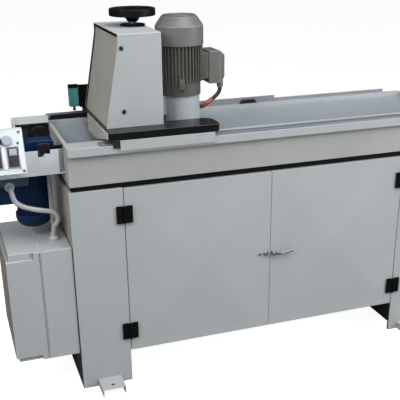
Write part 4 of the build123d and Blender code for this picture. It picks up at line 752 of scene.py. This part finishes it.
# Painted shade on the sides that face left, the lid's side, the front and end of the bed and the rear plate
# under its lip; a painted sky reflection and shade in the trough; painted light on the roof.
recoated("left_leg", side_shade_enamel, lambda middle, normal: normal.x < -SQUARE)
recoated("right_leg", side_shade_enamel, lambda middle, normal: normal.x < -SQUARE)
recoated("enclosure_lid", lid_shade_enamel, lambda middle, normal: normal.x < -SQUARE)
recoated("head_cover", roof_lit_enamel, lambda middle, normal: normal.z > SQUARE and middle.z > ROOF)
recoated("bed", apron_shade_enamel, lambda middle, normal: normal.y < -SQUARE and middle.z < FRONT_TOP)
recoated("bed", side_shade_enamel, lambda middle, normal: normal.x < -SQUARE and middle.x < BED_END)
recoated("bed", trough_sky_and_shade_enamel, in_trough)
recoated("drive_bracket", grey_enamel, lambda middle, normal: middle.y > REAR_PLATE)
recoated("drive_bracket", lip_shade_enamel, under_lip_shade)

# %% [markdown]
# ## The door handle and the locks
# One lever closes both doors: its spindle goes through the right door to a cam behind it. The lever is
# a drop forging, thick at the boss, slim in the neck and thicker again where the hand takes it, so it
# is a NURBS line whose bevel follows a radius at each point. Beside it, on the left door, sit a round
# bolt and a small key lock. The drawing's record says where the handle turns, as for every hinge.

# %% Handle
turning_at = {
    joint["name"]: [value / MM for value in joint["pos_m"]]
    for joint in record["behaviour"]["joints"]
    if "pos_m" in joint
}
BOSS_BACK = -221
LEVER_ROUTE = ((144.5, -231, 435), (158, -233, 434), (178, -233, 433.5), (205, -233, 438), (221, -231, 441))
LEVER_RADII = (5.5, 4.2, 3.6, 4.2, 4.8)
CAM_FACE = -197
CAM_OUTLINE = ((136.5, 428), (152.5, 428), (152.5, 470), (147, 476), (136.5, 476))
handle_x, _, handle_z = turning_at["handle_turn"]
handle_at = (handle_x, BOSS_BACK, handle_z)
lever_line = steered("door_lever_line", LEVER_ROUTE)
for knot, radius in zip(lever_line.splines[0].points, LEVER_RADII):
    knot.radius = radius
thickened(lever_line, radius=1, facets=3)
shape = bmesh.new()
shape.from_mesh(followed(lever_line))
turn(shape, ((0, 0), (10, 0), (10, 3), (7.5, 5), (7.5, 14), (6, 16), (0, 16)), handle_at, FORWARD)
turn(shape, ((0, 0), (5, 0), (5, 28), (0, 28)), handle_at, (0, 1, 0), around=16)
cut(shape, [(x, CAM_FACE, z) for x, z in CAM_OUTLINE], (0, 4, 0))
dressed(built("finished_door_handle", shape, chrome), "handle", "handle_metal", "door_handle")
print("lever", round(run([mm(*point) for point in LEVER_ROUTE]), 3), "m long")

# %% Locks
BOLT_ROWS = ((0, 0), (9.5, 0), (9.5, 2), (8, 3.5), (8, 7), (6.5, 8.5), (0, 8.5))
KEY_ROWS = ((0, 0), (6.5, 0), (6.5, 2.5), (5, 4), (1.6, 4), (1.6, 1.5), (0, 1.5))
DOOR_FRONT, LOCK_HEIGHT = -220, 438
shape = bmesh.new()
for rows, x in ((BOLT_ROWS, 114.4), (KEY_ROWS, 90)):
    turn(shape, rows, (x, DOOR_FRONT, LOCK_HEIGHT), FORWARD)
dressed(built("door_locks", shape, chrome), "left_door_leaf", "handle_metal")

# %% [markdown]
# ## Strips in the gaps
# A rubber edging fills the gap round the cover's side panel and shows as a dark line. A grey bead closes
# the seam between the doors and two more close the seams on the hinge sides. A darker strip down the
# edge of the enclosure's lid is painted shade in its seam. On the rim, a low steel strip lies in front of
# the way, so that water drips off and does not creep under it.

# %% Edging and beads
EDGING = 3.2
COVER_FOOT, COVER_SHOULDER, COVER_BACK = -456.0, -404.0, 187.7
panel_edge = ((COVER_FOOT, 958), (COVER_SHOULDER, 1230), (COVER_SHOULDER, 1259.5))
outline = [(x, COVER_BACK, z) for x, z in panel_edge]
outline += [(x + EDGING, COVER_BACK, z) for x, z in reversed(panel_edge)]
top_edging = bar((COVER_SHOULDER, COVER_SHOULDER + EDGING), (-172.5, 187.5), (1250.5, 1259.5))
seam = ((-218.6, -205), (130, 755))
back_edging = (outline, (0, 8, 0))
jambs = (bar((-422.6, -421.1), *seam), bar((686.1, 687.6), *seam))
drip = bar((-492.5, 920), (-232.5, -228.2), (914, 914.8))
lid_edge = bar((-723.5, -718), (-214.4, -213.6), (153, 562))
plated("cover_edging", "carriage", "seal_rubber", seal_rubber, back_edging, top_edging, edge=0.6)
plated("door_bead", "left_door_leaf", "cabinet_paint", slate_enamel, bar((131.5, 132.9), *seam))
plated("jamb_beads", "frame", "cabinet_paint", slate_enamel, *jambs)
plated("drip_strip", "frame", "steel", ground_steel, drip)
# A darker strip down the lid's edge is painted shade in its seam.
plated("lid_bead", "enclosure_door", "cabinet_paint", slate_enamel, lid_edge)

# %% [markdown]
# ## The control panel
# The panel is one pressed plate in the drawing. Which of its faces belong to the lamp and which to the
# switch frames follows from where they lie on the plate, so each face is asked for its column, row and
# height there. The rockers carry a pale window in the upper third.

# %% Panel faces
low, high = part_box("control_box")
PANEL_CORNER = Vector((high.x, low.y, low.z)) / MM
PANEL_LEFT = Vector(LEFT)
PANEL_UP = Vector((0, 42, 136)).normalized()
PANEL_OUT = Vector((0, -136, 42)).normalized()
PANEL_PLATE, PROUD = 3, 0.2
LAMP, STOP, ROCKERS = (52, 108), (87, 108), {"right": (37, 54), "left": (91, 54)}
LAMP_REACH = 16


def proud(middle):
    """Whether a face of the panel stands out from its plate."""
    return (middle - PANEL_CORNER).dot(PANEL_OUT) > PANEL_PLATE + PROUD


def by_lamp(middle):
    """Whether a face of the panel lies within the lamp's reach."""
    away = middle - PANEL_CORNER
    return math.dist((away.dot(PANEL_LEFT), away.dot(PANEL_UP)), LAMP) < LAMP_REACH


recoated("control_panel", lamp_lens, lambda middle, normal: proud(middle) and by_lamp(middle))
recoated("control_panel", slate_enamel, lambda middle, normal: proud(middle) and not by_lamp(middle))


# %% Rings and windows
def on_panel(column, row, height):
    """A spot on the panel in millimetres of the drawing."""
    return tuple(PANEL_CORNER + PANEL_LEFT * column + PANEL_UP * row + PANEL_OUT * height)


WINDOW = ((-12, 6), (12, 6), (12, 27), (-12, 27))
WINDOW_HEIGHT, WINDOW_THICK = 8.8, 0.8
shape = bmesh.new()
for spot, inner, outer, layer in ((LAMP, 15.2, 17.5, 0), (STOP, 14.6, 19, 1)):
    ring = ((inner, 0), (outer, 0), (outer, 2), (outer - 1, 3), (inner, 3), (inner, 0))
    turn(shape, ring, on_panel(*spot, PANEL_PLATE), PANEL_OUT, layer)
dressed(built("panel_rings", shape, grey_nylon, black_nylon), "frame", "black_plastic")
for side, (column, row) in ROCKERS.items():
    outline = [on_panel(column + left, row + up, WINDOW_HEIGHT) for left, up in WINDOW]
    pane = (outline, PANEL_OUT * WINDOW_THICK)
    plated(side + "_rocker_window", side + "_switch", "panel_white", window_lens, pane, edge=0.3)

# %% [markdown]
# ## Glands and the straight conduit
# A gland is a hexagon that screws into the wall and a round cap that grips the conduit. Four of them
# hold the two conduits. The straight one is the same ribbed tube as the loop, drawn between two points.

# %% Glands
STRAIGHT_RUN = (mm(-649.5, -84, 581), mm(-649.5, -84, 798))
HEXAGON = ((0, 0), (14, 0), (14, 5), (0, 5))
CAP = ((0, 5), (12, 5), (13, 6), (13, 11), (11.5, 14), (9.6, 16), (0, 16))
GLANDS = (
    ((-785.5, -90, 768), FORWARD, 1.28), ((-655.5, -120, 565), UP, 1.25), ((-649.5, -84, 565), UP, 1),
    ((-649.5, -84, 814), DOWN, 1),
)
straight = grown("straight_conduit", STRAIGHT_RUN, ribbed_tube, Radius=8, **RIBS)
shape = bmesh.new()
shape.from_mesh(straight.data)
bpy.data.objects.remove(straight)
for at, way, wide in GLANDS:
    for rows, around in ((HEXAGON, 6), (CAP, 24)):
        turn(shape, [(wide * radius, height) for radius, height in rows], at, way, 1, around)
glands = built("finished_cable_glands", shape, conduit_vinyl, grey_nylon)
dressed(glands, "frame", slot_of["cable_glands"], "cable_glands")

# %% [markdown]
# ## Screws by Geometry Nodes
# Every screw is the same tree with other sizes: a head with a socket cut into it, on a washer. The three
# are cylinders, each raised by its shares of the head's and the washer's height. The screw is put on
# each point of a mesh and turned to an attribute called facing. The tree runs once for each body,
# because a screw on a door has to swing with the door.

# %% The screw tree
tree, given = start_tree(
    "screw heads", Head_radius="Float", Head_height="Float", Sides="Int", Socket_radius="Float",
    Washer_radius="Float", Washer_height="Float", Material="Material",
)
seated = []
for sides, radius, depth, head_share, washer_share in (
    (given["Sides"], "Head radius", "Head height", 0.5, 1.0),
    (6, "Socket radius", "Head height", 1.0, 1.0),
    (20, "Washer radius", "Washer height", 0.0, 0.5),
):
    sizes = {"Vertices": sides, "Radius": given[radius], "Depth": given[depth]}
    part = add(tree, "GeometryNodeMeshCylinder", sizes)
    base = add(tree, "ShaderNodeMath", {0: given["Washer height"], 1: washer_share}, operation="MULTIPLY")
    heights = {0: given["Head height"], 1: head_share, 2: base}
    rise = add(tree, "ShaderNodeMath", heights, operation="MULTIPLY_ADD")
    up = add(tree, "ShaderNodeCombineXYZ", {"Z": rise})
    seated.append(add(tree, "GeometryNodeTransform", {"Geometry": part, "Translation": up}))
head, socket, washer = seated
drilled = add(tree, "GeometryNodeMeshBoolean", {"Mesh 1": head, "Mesh 2": socket}, operation="DIFFERENCE")
screw = add(tree, "GeometryNodeJoinGeometry", {0: [drilled, washer]})
facing = add(tree, "GeometryNodeInputNamedAttribute", {"Name": "facing"}, data_type="FLOAT_VECTOR")
aimed = add(tree, "FunctionNodeAlignRotationToVector", {"Vector": facing}, axis="Z")
copies = {"Points": given["Geometry"], "Instance": screw, "Rotation": aimed}
driven = add(tree, "GeometryNodeInstanceOnPoints", copies)
screw_heads = end_tree(tree, driven, given["Material"])

# %% Hinge screws
HEAD_SIDES, SOCKET_SHARE, WASHER_SHARE, WASHER_HEIGHT = 16, 0.55, 1.25, 0.3


def fastened(name, body, slot, coat, radius, height, places):
    """Screws of one size on a body, from rows of a place in millimetres and the way it faces."""
    made = grown(
        name, [mm(*place) for place, way in places], screw_heads, [way for place, way in places],
        Head_radius=radius, Head_height=height, Sides=HEAD_SIDES, Socket_radius=SOCKET_SHARE * radius,
        Washer_radius=WASHER_SHARE * radius, Washer_height=WASHER_HEIGHT, Material=coat,
    )
    return dressed(smoothed(made), body, slot)


LEAF_FRONT = -228
HINGE_ROWS = [height + step for height in (211, 665) for step in (-20, 20)]
HINGE_COLUMNS = {"frame": (-438, 703), "left_door_leaf": (-404,), "right_door_leaf": (669,)}
for body, columns in HINGE_COLUMNS.items():
    places = [((x, LEAF_FRONT, z), FORWARD) for x in columns for z in HINGE_ROWS]
    fastened(body + "_hinge_screws", body, "black_paint", matt_black, 4, 0.8, places)

# %% Other screws
motor_x, motor_y, _ = turning_at["spindle_spin"]
low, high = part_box("motor_cowl")
COWL_RADIUS, COWL_TOP = (high.x - low.x) / 2 / MM, high.z / MM
COWL_SCREWS, COWL_SCREW_HEIGHT = (-35, 55, 145, 235), 1224
PANEL_SPOTS = ((12, 133), (18, 98), (8, 8), (182, 133), (186, 8))
CONTACTORS_MIDDLE, CONTACTOR_STEP, TERMINAL_STEP = -39, 62, 14
THREE = (-1, 0, 1)
terminals = [CONTACTORS_MIDDLE + CONTACTOR_STEP * i + TERMINAL_STEP * j for i in THREE for j in THREE]
ways_out = [Vector((math.cos(a), math.sin(a), 0)) for a in map(math.radians, COWL_SCREWS)]
cowl_places = [(Vector((motor_x, motor_y, COWL_SCREW_HEIGHT)) + COWL_RADIUS * way, way) for way in ways_out]
for name, body, slot, coat, radius, height, places in (
    ("panel_screws", "frame", "steel", zinc, 3.6, 1.6,
     [(on_panel(*spot, PANEL_PLATE), PANEL_OUT) for spot in PANEL_SPOTS]),
    ("gearbox_bolts", "frame", "blue_paint", blue_enamel, 4.5, 4,
     [((x, y, 920), UP) for x in (-714, -635) for y in (-99, -55)]),
    ("cowl_screws", "head", "steel", zinc, 4, 2, cowl_places),
    ("terminal_screws", "head", "steel", zinc, 3.5, 2,
     [((-4, y, z), RIGHT) for y in (-84, -36) for z in (1095, 1155)]),
    ("switch_screws", "carriage", "steel", zinc, 2.6, 1,
     [((-507, 201, 1024), FORWARD), ((-482, 201, 968), FORWARD)]),
    ("contactor_terminals", "frame", "steel", zinc, 3, 1.5,
     [((-683.5, y, z), LEFT) for y in terminals for z in (322, 393)]),
):
    fastened(name, body, slot, coat, radius, height, places)

# %% Cover screws
DOME = ((0, 0), (7.5, 0), (7.2, 1.4), (6, 3.2), (3.4, 4.2), (3, 4), (2.8, 2.2), (0, 2.2))
lathed(
    "finished_cover_screws", "carriage", slot_of["cover_screws"], black_nylon, DOME,
    (-393.5, -175, 1010), (-393.5, -175, 1217), axis=FORWARD, nodes=["cover_screws"],
)

# %% [markdown]
# ## The chain
# A roller chain pulls the carriage. Its path is two straight runs and two half circles round the
# wheels: a rectangle whose corners are filleted until they meet. Even links are the inner kind, two
# plates with rollers, and odd links the outer kind, two plates with pins. A plate is a low cylinder
# drawn out into an oval, so one link has about forty faces and the whole chain stays light.

# %% The chain's path
tree, given = start_tree(
    "roller chain", Reach="Float", Pitch_radius="Float", Links="Int", Pitch="Float", Plate_height="Float",
    Plate_thickness="Float", Inner_width="Float", Roller_radius="Float", Pin_radius="Float", Centre="Vector",
    Material="Material",
)
height = add(tree, "ShaderNodeMath", {0: given["Pitch radius"], 1: 2.0}, operation="MULTIPLY")
width = add(tree, "ShaderNodeMath", {0: given["Reach"], 1: height}, operation="ADD")
box_line = add(tree, "GeometryNodeCurvePrimitiveQuadrilateral", {"Width": width, "Height": height})
bend = {"Curve": box_line, "Count": 16, "Radius": given["Pitch radius"], "Limit Radius": True}
filleted = add(tree, "GeometryNodeFilletCurve", bend, mode="POLY")
spaced = add(tree, "GeometryNodeResampleCurve", {"Curve": filleted, "Count": given["Links"]})
knots = add(tree, "GeometryNodeCurveToPoints", {"Curve": spaced}, mode="EVALUATED").outputs
along = {"Vector": knots["Tangent"]}
aimed = add(tree, "FunctionNodeAlignRotationToVector", along, axis="X", pivot_axis="Z")
number = add(tree, "GeometryNodeInputIndex")
odd = add(tree, "ShaderNodeMath", {0: number, 1: 2.0}, operation="MODULO")
even = add(tree, "ShaderNodeMath", {0: 1.0, 1: odd}, operation="SUBTRACT")
print("chain path:", len(tree.nodes), "nodes so far")

# %% The chain's links
# A plate is longer than the pitch by a share of its height. In plate thicknesses, the middles of the
# inner and outer plates lie this far beyond the rollers, and a pin is this much longer than one.
ROUND_ENDS, INNER_PLATE, OUTER_PLATE, PIN_ENDS = 0.9, 0.5, 1.6, 4.6
oval = add(tree, "GeometryNodeMeshCylinder", {"Vertices": 10, "Radius": 0.5, "Depth": 1.0})
ends = {0: given["Plate height"], 1: ROUND_ENDS, 2: given["Pitch"]}
long = add(tree, "ShaderNodeMath", ends, operation="MULTIPLY_ADD")
sides = {"X": long, "Y": given["Plate height"], "Z": given["Plate thickness"]}
plate_size = add(tree, "ShaderNodeCombineXYZ", sides)
heads = {0: given["Plate thickness"], 1: PIN_ENDS, 2: given["Inner width"]}
pin_length = add(tree, "ShaderNodeMath", heads, operation="MULTIPLY_ADD")
rolling = {"Vertices": 8, "Radius": given["Roller radius"], "Depth": given["Inner width"]}
roller = add(tree, "GeometryNodeMeshCylinder", rolling)
pinned = {"Vertices": 6, "Radius": given["Pin radius"], "Depth": pin_length}
pin = add(tree, "GeometryNodeMeshCylinder", pinned)
links = []
for plate_place, round_part, chosen in ((INNER_PLATE, roller, even), (OUTER_PLATE, pin, odd)):
    parts = []
    for side in (-1, 1):
        inner = add(tree, "ShaderNodeMath", {0: given["Inner width"], 1: 0.5 * side}, operation="MULTIPLY")
        beyond = {0: given["Plate thickness"], 1: plate_place * side, 2: inner}
        out = add(tree, "ShaderNodeMath", beyond, operation="MULTIPLY_ADD")
        beside = add(tree, "ShaderNodeCombineXYZ", {"Z": out})
        shaped = {"Geometry": oval, "Translation": beside, "Scale": plate_size}
        parts.append(add(tree, "GeometryNodeTransform", shaped))
        half_pitch = add(tree, "ShaderNodeMath", {0: given["Pitch"], 1: 0.5 * side}, operation="MULTIPLY")
        ahead = add(tree, "ShaderNodeCombineXYZ", {"X": half_pitch})
        parts.append(add(tree, "GeometryNodeTransform", {"Geometry": round_part, "Translation": ahead}))
    link = add(tree, "GeometryNodeJoinGeometry", {0: parts})
    copies = {"Points": knots["Points"], "Selection": chosen, "Instance": link, "Rotation": aimed}
    links.append(add(tree, "GeometryNodeInstanceOnPoints", copies))
joined_links = add(tree, "GeometryNodeJoinGeometry", {0: links})
stood = {"Geometry": joined_links, "Rotation": (math.pi / 2, 0, 0), "Translation": given["Centre"]}
upright_loop = add(tree, "GeometryNodeTransform", stood)
chain_loop = end_tree(tree, upright_loop, given["Material"])

# %% The drive chain
CHAIN_RADIUS, CHAIN_LINKS = 30, 248
drive_x, chain_y, chain_z = turning_at["drive_wheel_spin"]
reach = turning_at["idler_spin"][0] - drive_x
pitch = (2 * reach + 2 * math.pi * CHAIN_RADIUS) / CHAIN_LINKS
chain = grown(
    "finished_drive_chain", [Vector()], chain_loop, Reach=reach, Pitch_radius=CHAIN_RADIUS, Links=CHAIN_LINKS,
    Pitch=pitch, Plate_height=11.5, Plate_thickness=1.5, Inner_width=6.2, Roller_radius=4.2, Pin_radius=2,
    Centre=(drive_x + reach / 2, chain_y, chain_z), Material=chain_steel,
)
dressed(smoothed(chain), "frame", "chain_steel", "drive_chain")
print(CHAIN_LINKS, "links at", round(pitch, 2), "mm,", len(chain.data.polygons), "faces")

# %% [markdown]
# ## The fan grille
# The motor draws its cooling air through the top of the cowl. The grille is a set of wire rings on
# spokes over a black disc that paints the shade inside the opening. Rings and spokes are lines that the
# tree copies on points, the rings larger one by one and the spokes turned one by one, before a thin
# circle is swept along them all.

# %% The grille tree
tree, given = start_tree(
    "fan grille", Rings="Int", Spacing="Float", Spokes="Int", Wire="Float", Centre="Vector",
    Material="Material",
)
number = add(tree, "GeometryNodeInputIndex")
from_one = add(tree, "ShaderNodeMath", {0: number, 1: 1.0}, operation="ADD")
ring_size = add(tree, "ShaderNodeMath", {0: from_one, 1: given["Spacing"]}, operation="MULTIPLY")
ring = add(tree, "GeometryNodeCurvePrimitiveCircle", {"Resolution": 48, "Radius": 1.0})
outer = add(tree, "ShaderNodeMath", {0: given["Rings"], 1: given["Spacing"]}, operation="MULTIPLY")
tip = add(tree, "ShaderNodeCombineXYZ", {"X": outer})
spoke = add(tree, "GeometryNodeCurvePrimitiveLine", {"End": tip})
step = add(tree, "ShaderNodeMath", {0: 2 * math.pi, 1: given["Spokes"]}, operation="DIVIDE")
swing = add(tree, "ShaderNodeMath", {0: number, 1: step}, operation="MULTIPLY")
swung = add(tree, "ShaderNodeCombineXYZ", {"Z": swing})
wires = []
for count, wire, change in (("Rings", ring, {"Scale": ring_size}), ("Spokes", spoke, {"Rotation": swung})):
    middles = add(tree, "GeometryNodePoints", {"Count": given[count]})
    copies = {"Points": middles, "Instance": wire, **change}
    wires.append(add(tree, "GeometryNodeInstanceOnPoints", copies))
lines = add(tree, "GeometryNodeJoinGeometry", {0: wires})
real = add(tree, "GeometryNodeRealizeInstances", {"Geometry": lines})
section = add(tree, "GeometryNodeCurvePrimitiveCircle", {"Resolution": 8, "Radius": 1.0})
sweep = {"Curve": real, "Profile Curve": section, "Scale": given["Wire"], "Fill Caps": True}
swept = add(tree, "GeometryNodeCurveToMesh", sweep)
raised = add(tree, "GeometryNodeTransform", {"Geometry": swept, "Translation": given["Centre"]})
fan_grille = end_tree(tree, raised, given["Material"])

# %% Grille, boss and neck
feed_x, feed_y, _ = turning_at["handwheel_turn"]
OPENING = ((0, 0), (57, 0), (57, 0.5), (0, 0.5))
NECK = ((12.1, 0), (14, 0), (14, 8), (13, 9.5), (12.1, 9.5), (12.1, 0))
HUB = ((14.1, 0), (17.5, 0), (25.5, 12.2), (17, 9.4), (14.1, 9.4), (14.1, 0))
NECK_FOOT, HUB_FOOT = 1268.7, 1276.4
GRILLE_RISE, OPENING_SUNK = 1, 0.2
grille = grown(
    "cowl_grille", [Vector()], fan_grille, Rings=6, Spacing=9.2, Spokes=6, Wire=1.5,
    Centre=(motor_x, motor_y, COWL_TOP + GRILLE_RISE), Material=cowl_enamel,
)
dressed(smoothed(grille, TUBE_CREASE), "head", "motor_paint")
# A black disc paints the shade inside the cowl's opening.
opening_at = (motor_x, motor_y, COWL_TOP - OPENING_SUNK)
lathed("cowl_opening", "head", "motor_paint", black_enamel, OPENING, opening_at, around=64)
boss = bar((-187, -167), (-139, -124), (1057, 1096))
plated("motor_boss", "head", "motor_paint", cast_enamel, boss, edge=2.5)
lathed("wheel_neck_sleeve", "feed", "steel", turned_steel, NECK, (feed_x, feed_y, NECK_FOOT))
lathed("handwheel_boss", "feed", slot_of["handwheel"], phenolic, HUB, (feed_x, feed_y, HUB_FOOT))

# %% [markdown]
# ## Behind the gearbox and under the feet
# A black guard covers the end of the lead shaft behind the gearbox, the drive motor's terminal box has
# a lid in a lighter blue that paints the light falling on it, and a threaded sleeve stands in each foot
# for the floor bolt. A folded flange closes the gap between the drive's front plate and the end of the
# bed, in front of the chain.

# %% Guard, lid, flange and sleeves
GUARD = ((0, 0), (37, 0), (37, 22), (31, 30), (9, 32), (0, 32))
GUARD_NUT = ((0, 0), (8, 0), (7, 3), (0, 3))
shape = bmesh.new()
turn(shape, GUARD, (-641, 174, 876), FORWARD, around=48)
turn(shape, GUARD_NUT, (-655, 142, 874), FORWARD, layer=1)
dressed(built("shaft_guard", shape, black_enamel, dark_steel), "frame", "black_paint")
lid = ((-817, -90, 769), (-721, -90, 767), (-719, -90, 808), (-817, -90, 812))
# The lid's lighter blue paints the light falling on it.
plated("drive_box_lid", "frame", "blue_paint", lid_light_blue, (lid, (0, -10, 0)), edge=2)
flange = ((-619.5, -153.5, 814.5), (-602.8, -142.5, 814.5), (-602.8, -141, 814.5), (-619.5, -151.5, 814.5))
plated("chain_flange", "frame", "cabinet_paint", grey_enamel, (flange, (0, 0, 84)))
SLEEVE_SUNK = 4.5
sleeve_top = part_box("foot_lugs")[1].z / MM - SLEEVE_SUNK
SLEEVE = ((0, 18), (8, 18), (8, sleeve_top), (5.6, sleeve_top), (5.6, 20), (0, 20))
feet = [(x, y, 0) for x in (-508.5, 773.5) for y in (-272, 272)]
lathed("anchor_sleeves", "frame", "steel", chain_steel, SLEEVE, *feet)

# %% [markdown]
# ## Floor and light
# A white studio with three large soft lamps: one over the front of the machine, one on each side. They
# stand high, so that tops are brightest, fronts follow and the left sides fall into shade. A fourth
# lamp stands behind for the far side, and the world fills the shadows a little. The floor is pale and
# plain: to the camera it glows like paper, but it throws little light back under the machine. The
# Standard view keeps white paper white.

# %% White world
scene = bpy.context.scene
scene.view_settings.view_transform = "Standard"
world = bpy.data.worlds.new("white studio")
world.use_nodes = True
sky = world.node_tree
sky.nodes.clear()
seen = add(sky, "ShaderNodeLightPath").outputs["Is Camera Ray"]
ambient = add(sky, "ShaderNodeBackground", {"Color": (0.97, 0.985, 1.0, 1.0), "Strength": 0.12})
paper = add(sky, "ShaderNodeBackground", {"Color": (1.0, 1.0, 1.0, 1.0), "Strength": 1.0})
mixed = add(sky, "ShaderNodeMixShader", {0: seen, 1: ambient, 2: paper})
add(sky, "ShaderNodeOutputWorld", {"Surface": mixed})
scene.world = world
print(world.name, "has", len(sky.nodes), "nodes")

# %% Floor
FLOOR_SIDE = 60
GLOW = (0.92, 0.92, 0.92, 1.0)
half = FLOOR_SIDE / 2
corners = [(-half, -half, 0), (half, -half, 0), (half, half, 0), (-half, half, 0)]
floor_mesh = bpy.data.meshes.new("studio_floor")
floor_mesh.from_pydata(corners, [], [(0, 1, 2, 3)])
floor = placed("studio_floor", floor_mesh)
paper_floor = finish("pale studio floor", ("#a0a0a0", "#a6a6a6"), 900, (0.85, 0.95), 40, 0.05)
glowing = shader_of(paper_floor).inputs
glowing["Emission Color"].default_value = GLOW
seen = add(paper_floor.node_tree, "ShaderNodeLightPath").outputs["Is Camera Ray"]
paper_floor.node_tree.links.new(seen, glowing["Emission Strength"])
floor_mesh.materials.append(paper_floor)
floor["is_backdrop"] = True
print("floor", FLOOR_SIDE, "m wide")

# %% Lamps
for name, place, aim, size, power in (
    ("front softbox", (500, -1500, 3600), (200, -100, 700), 2.6, 98),
    ("right softbox", (3200, -2600, 2200), (200, 0, 700), 2.0, 94),
    ("left softbox", (-3000, -1800, 3000), (0, 0, 900), 2.0, 86),
    ("back softbox", (500, 3600, 1500), (200, 0, 700), 2.0, 60),
):
    lamp = bpy.data.lights.new(name, "AREA")
    lamp.size = size
    lamp.energy = power
    holder = placed(name, lamp)
    holder.location = mm(*place)
    holder.visible_glossy = name != "back softbox"
    holder.rotation_euler = (mm(*aim) - mm(*place)).to_track_quat("-Z", "Y").to_euler()
print("lamps:", [lamp.name for lamp in bpy.data.lights])

# %% Size of the visual model
size = {"cad": [list(corner) for corner in cad_box], "visual": [list(corner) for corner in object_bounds()]}
print(size)
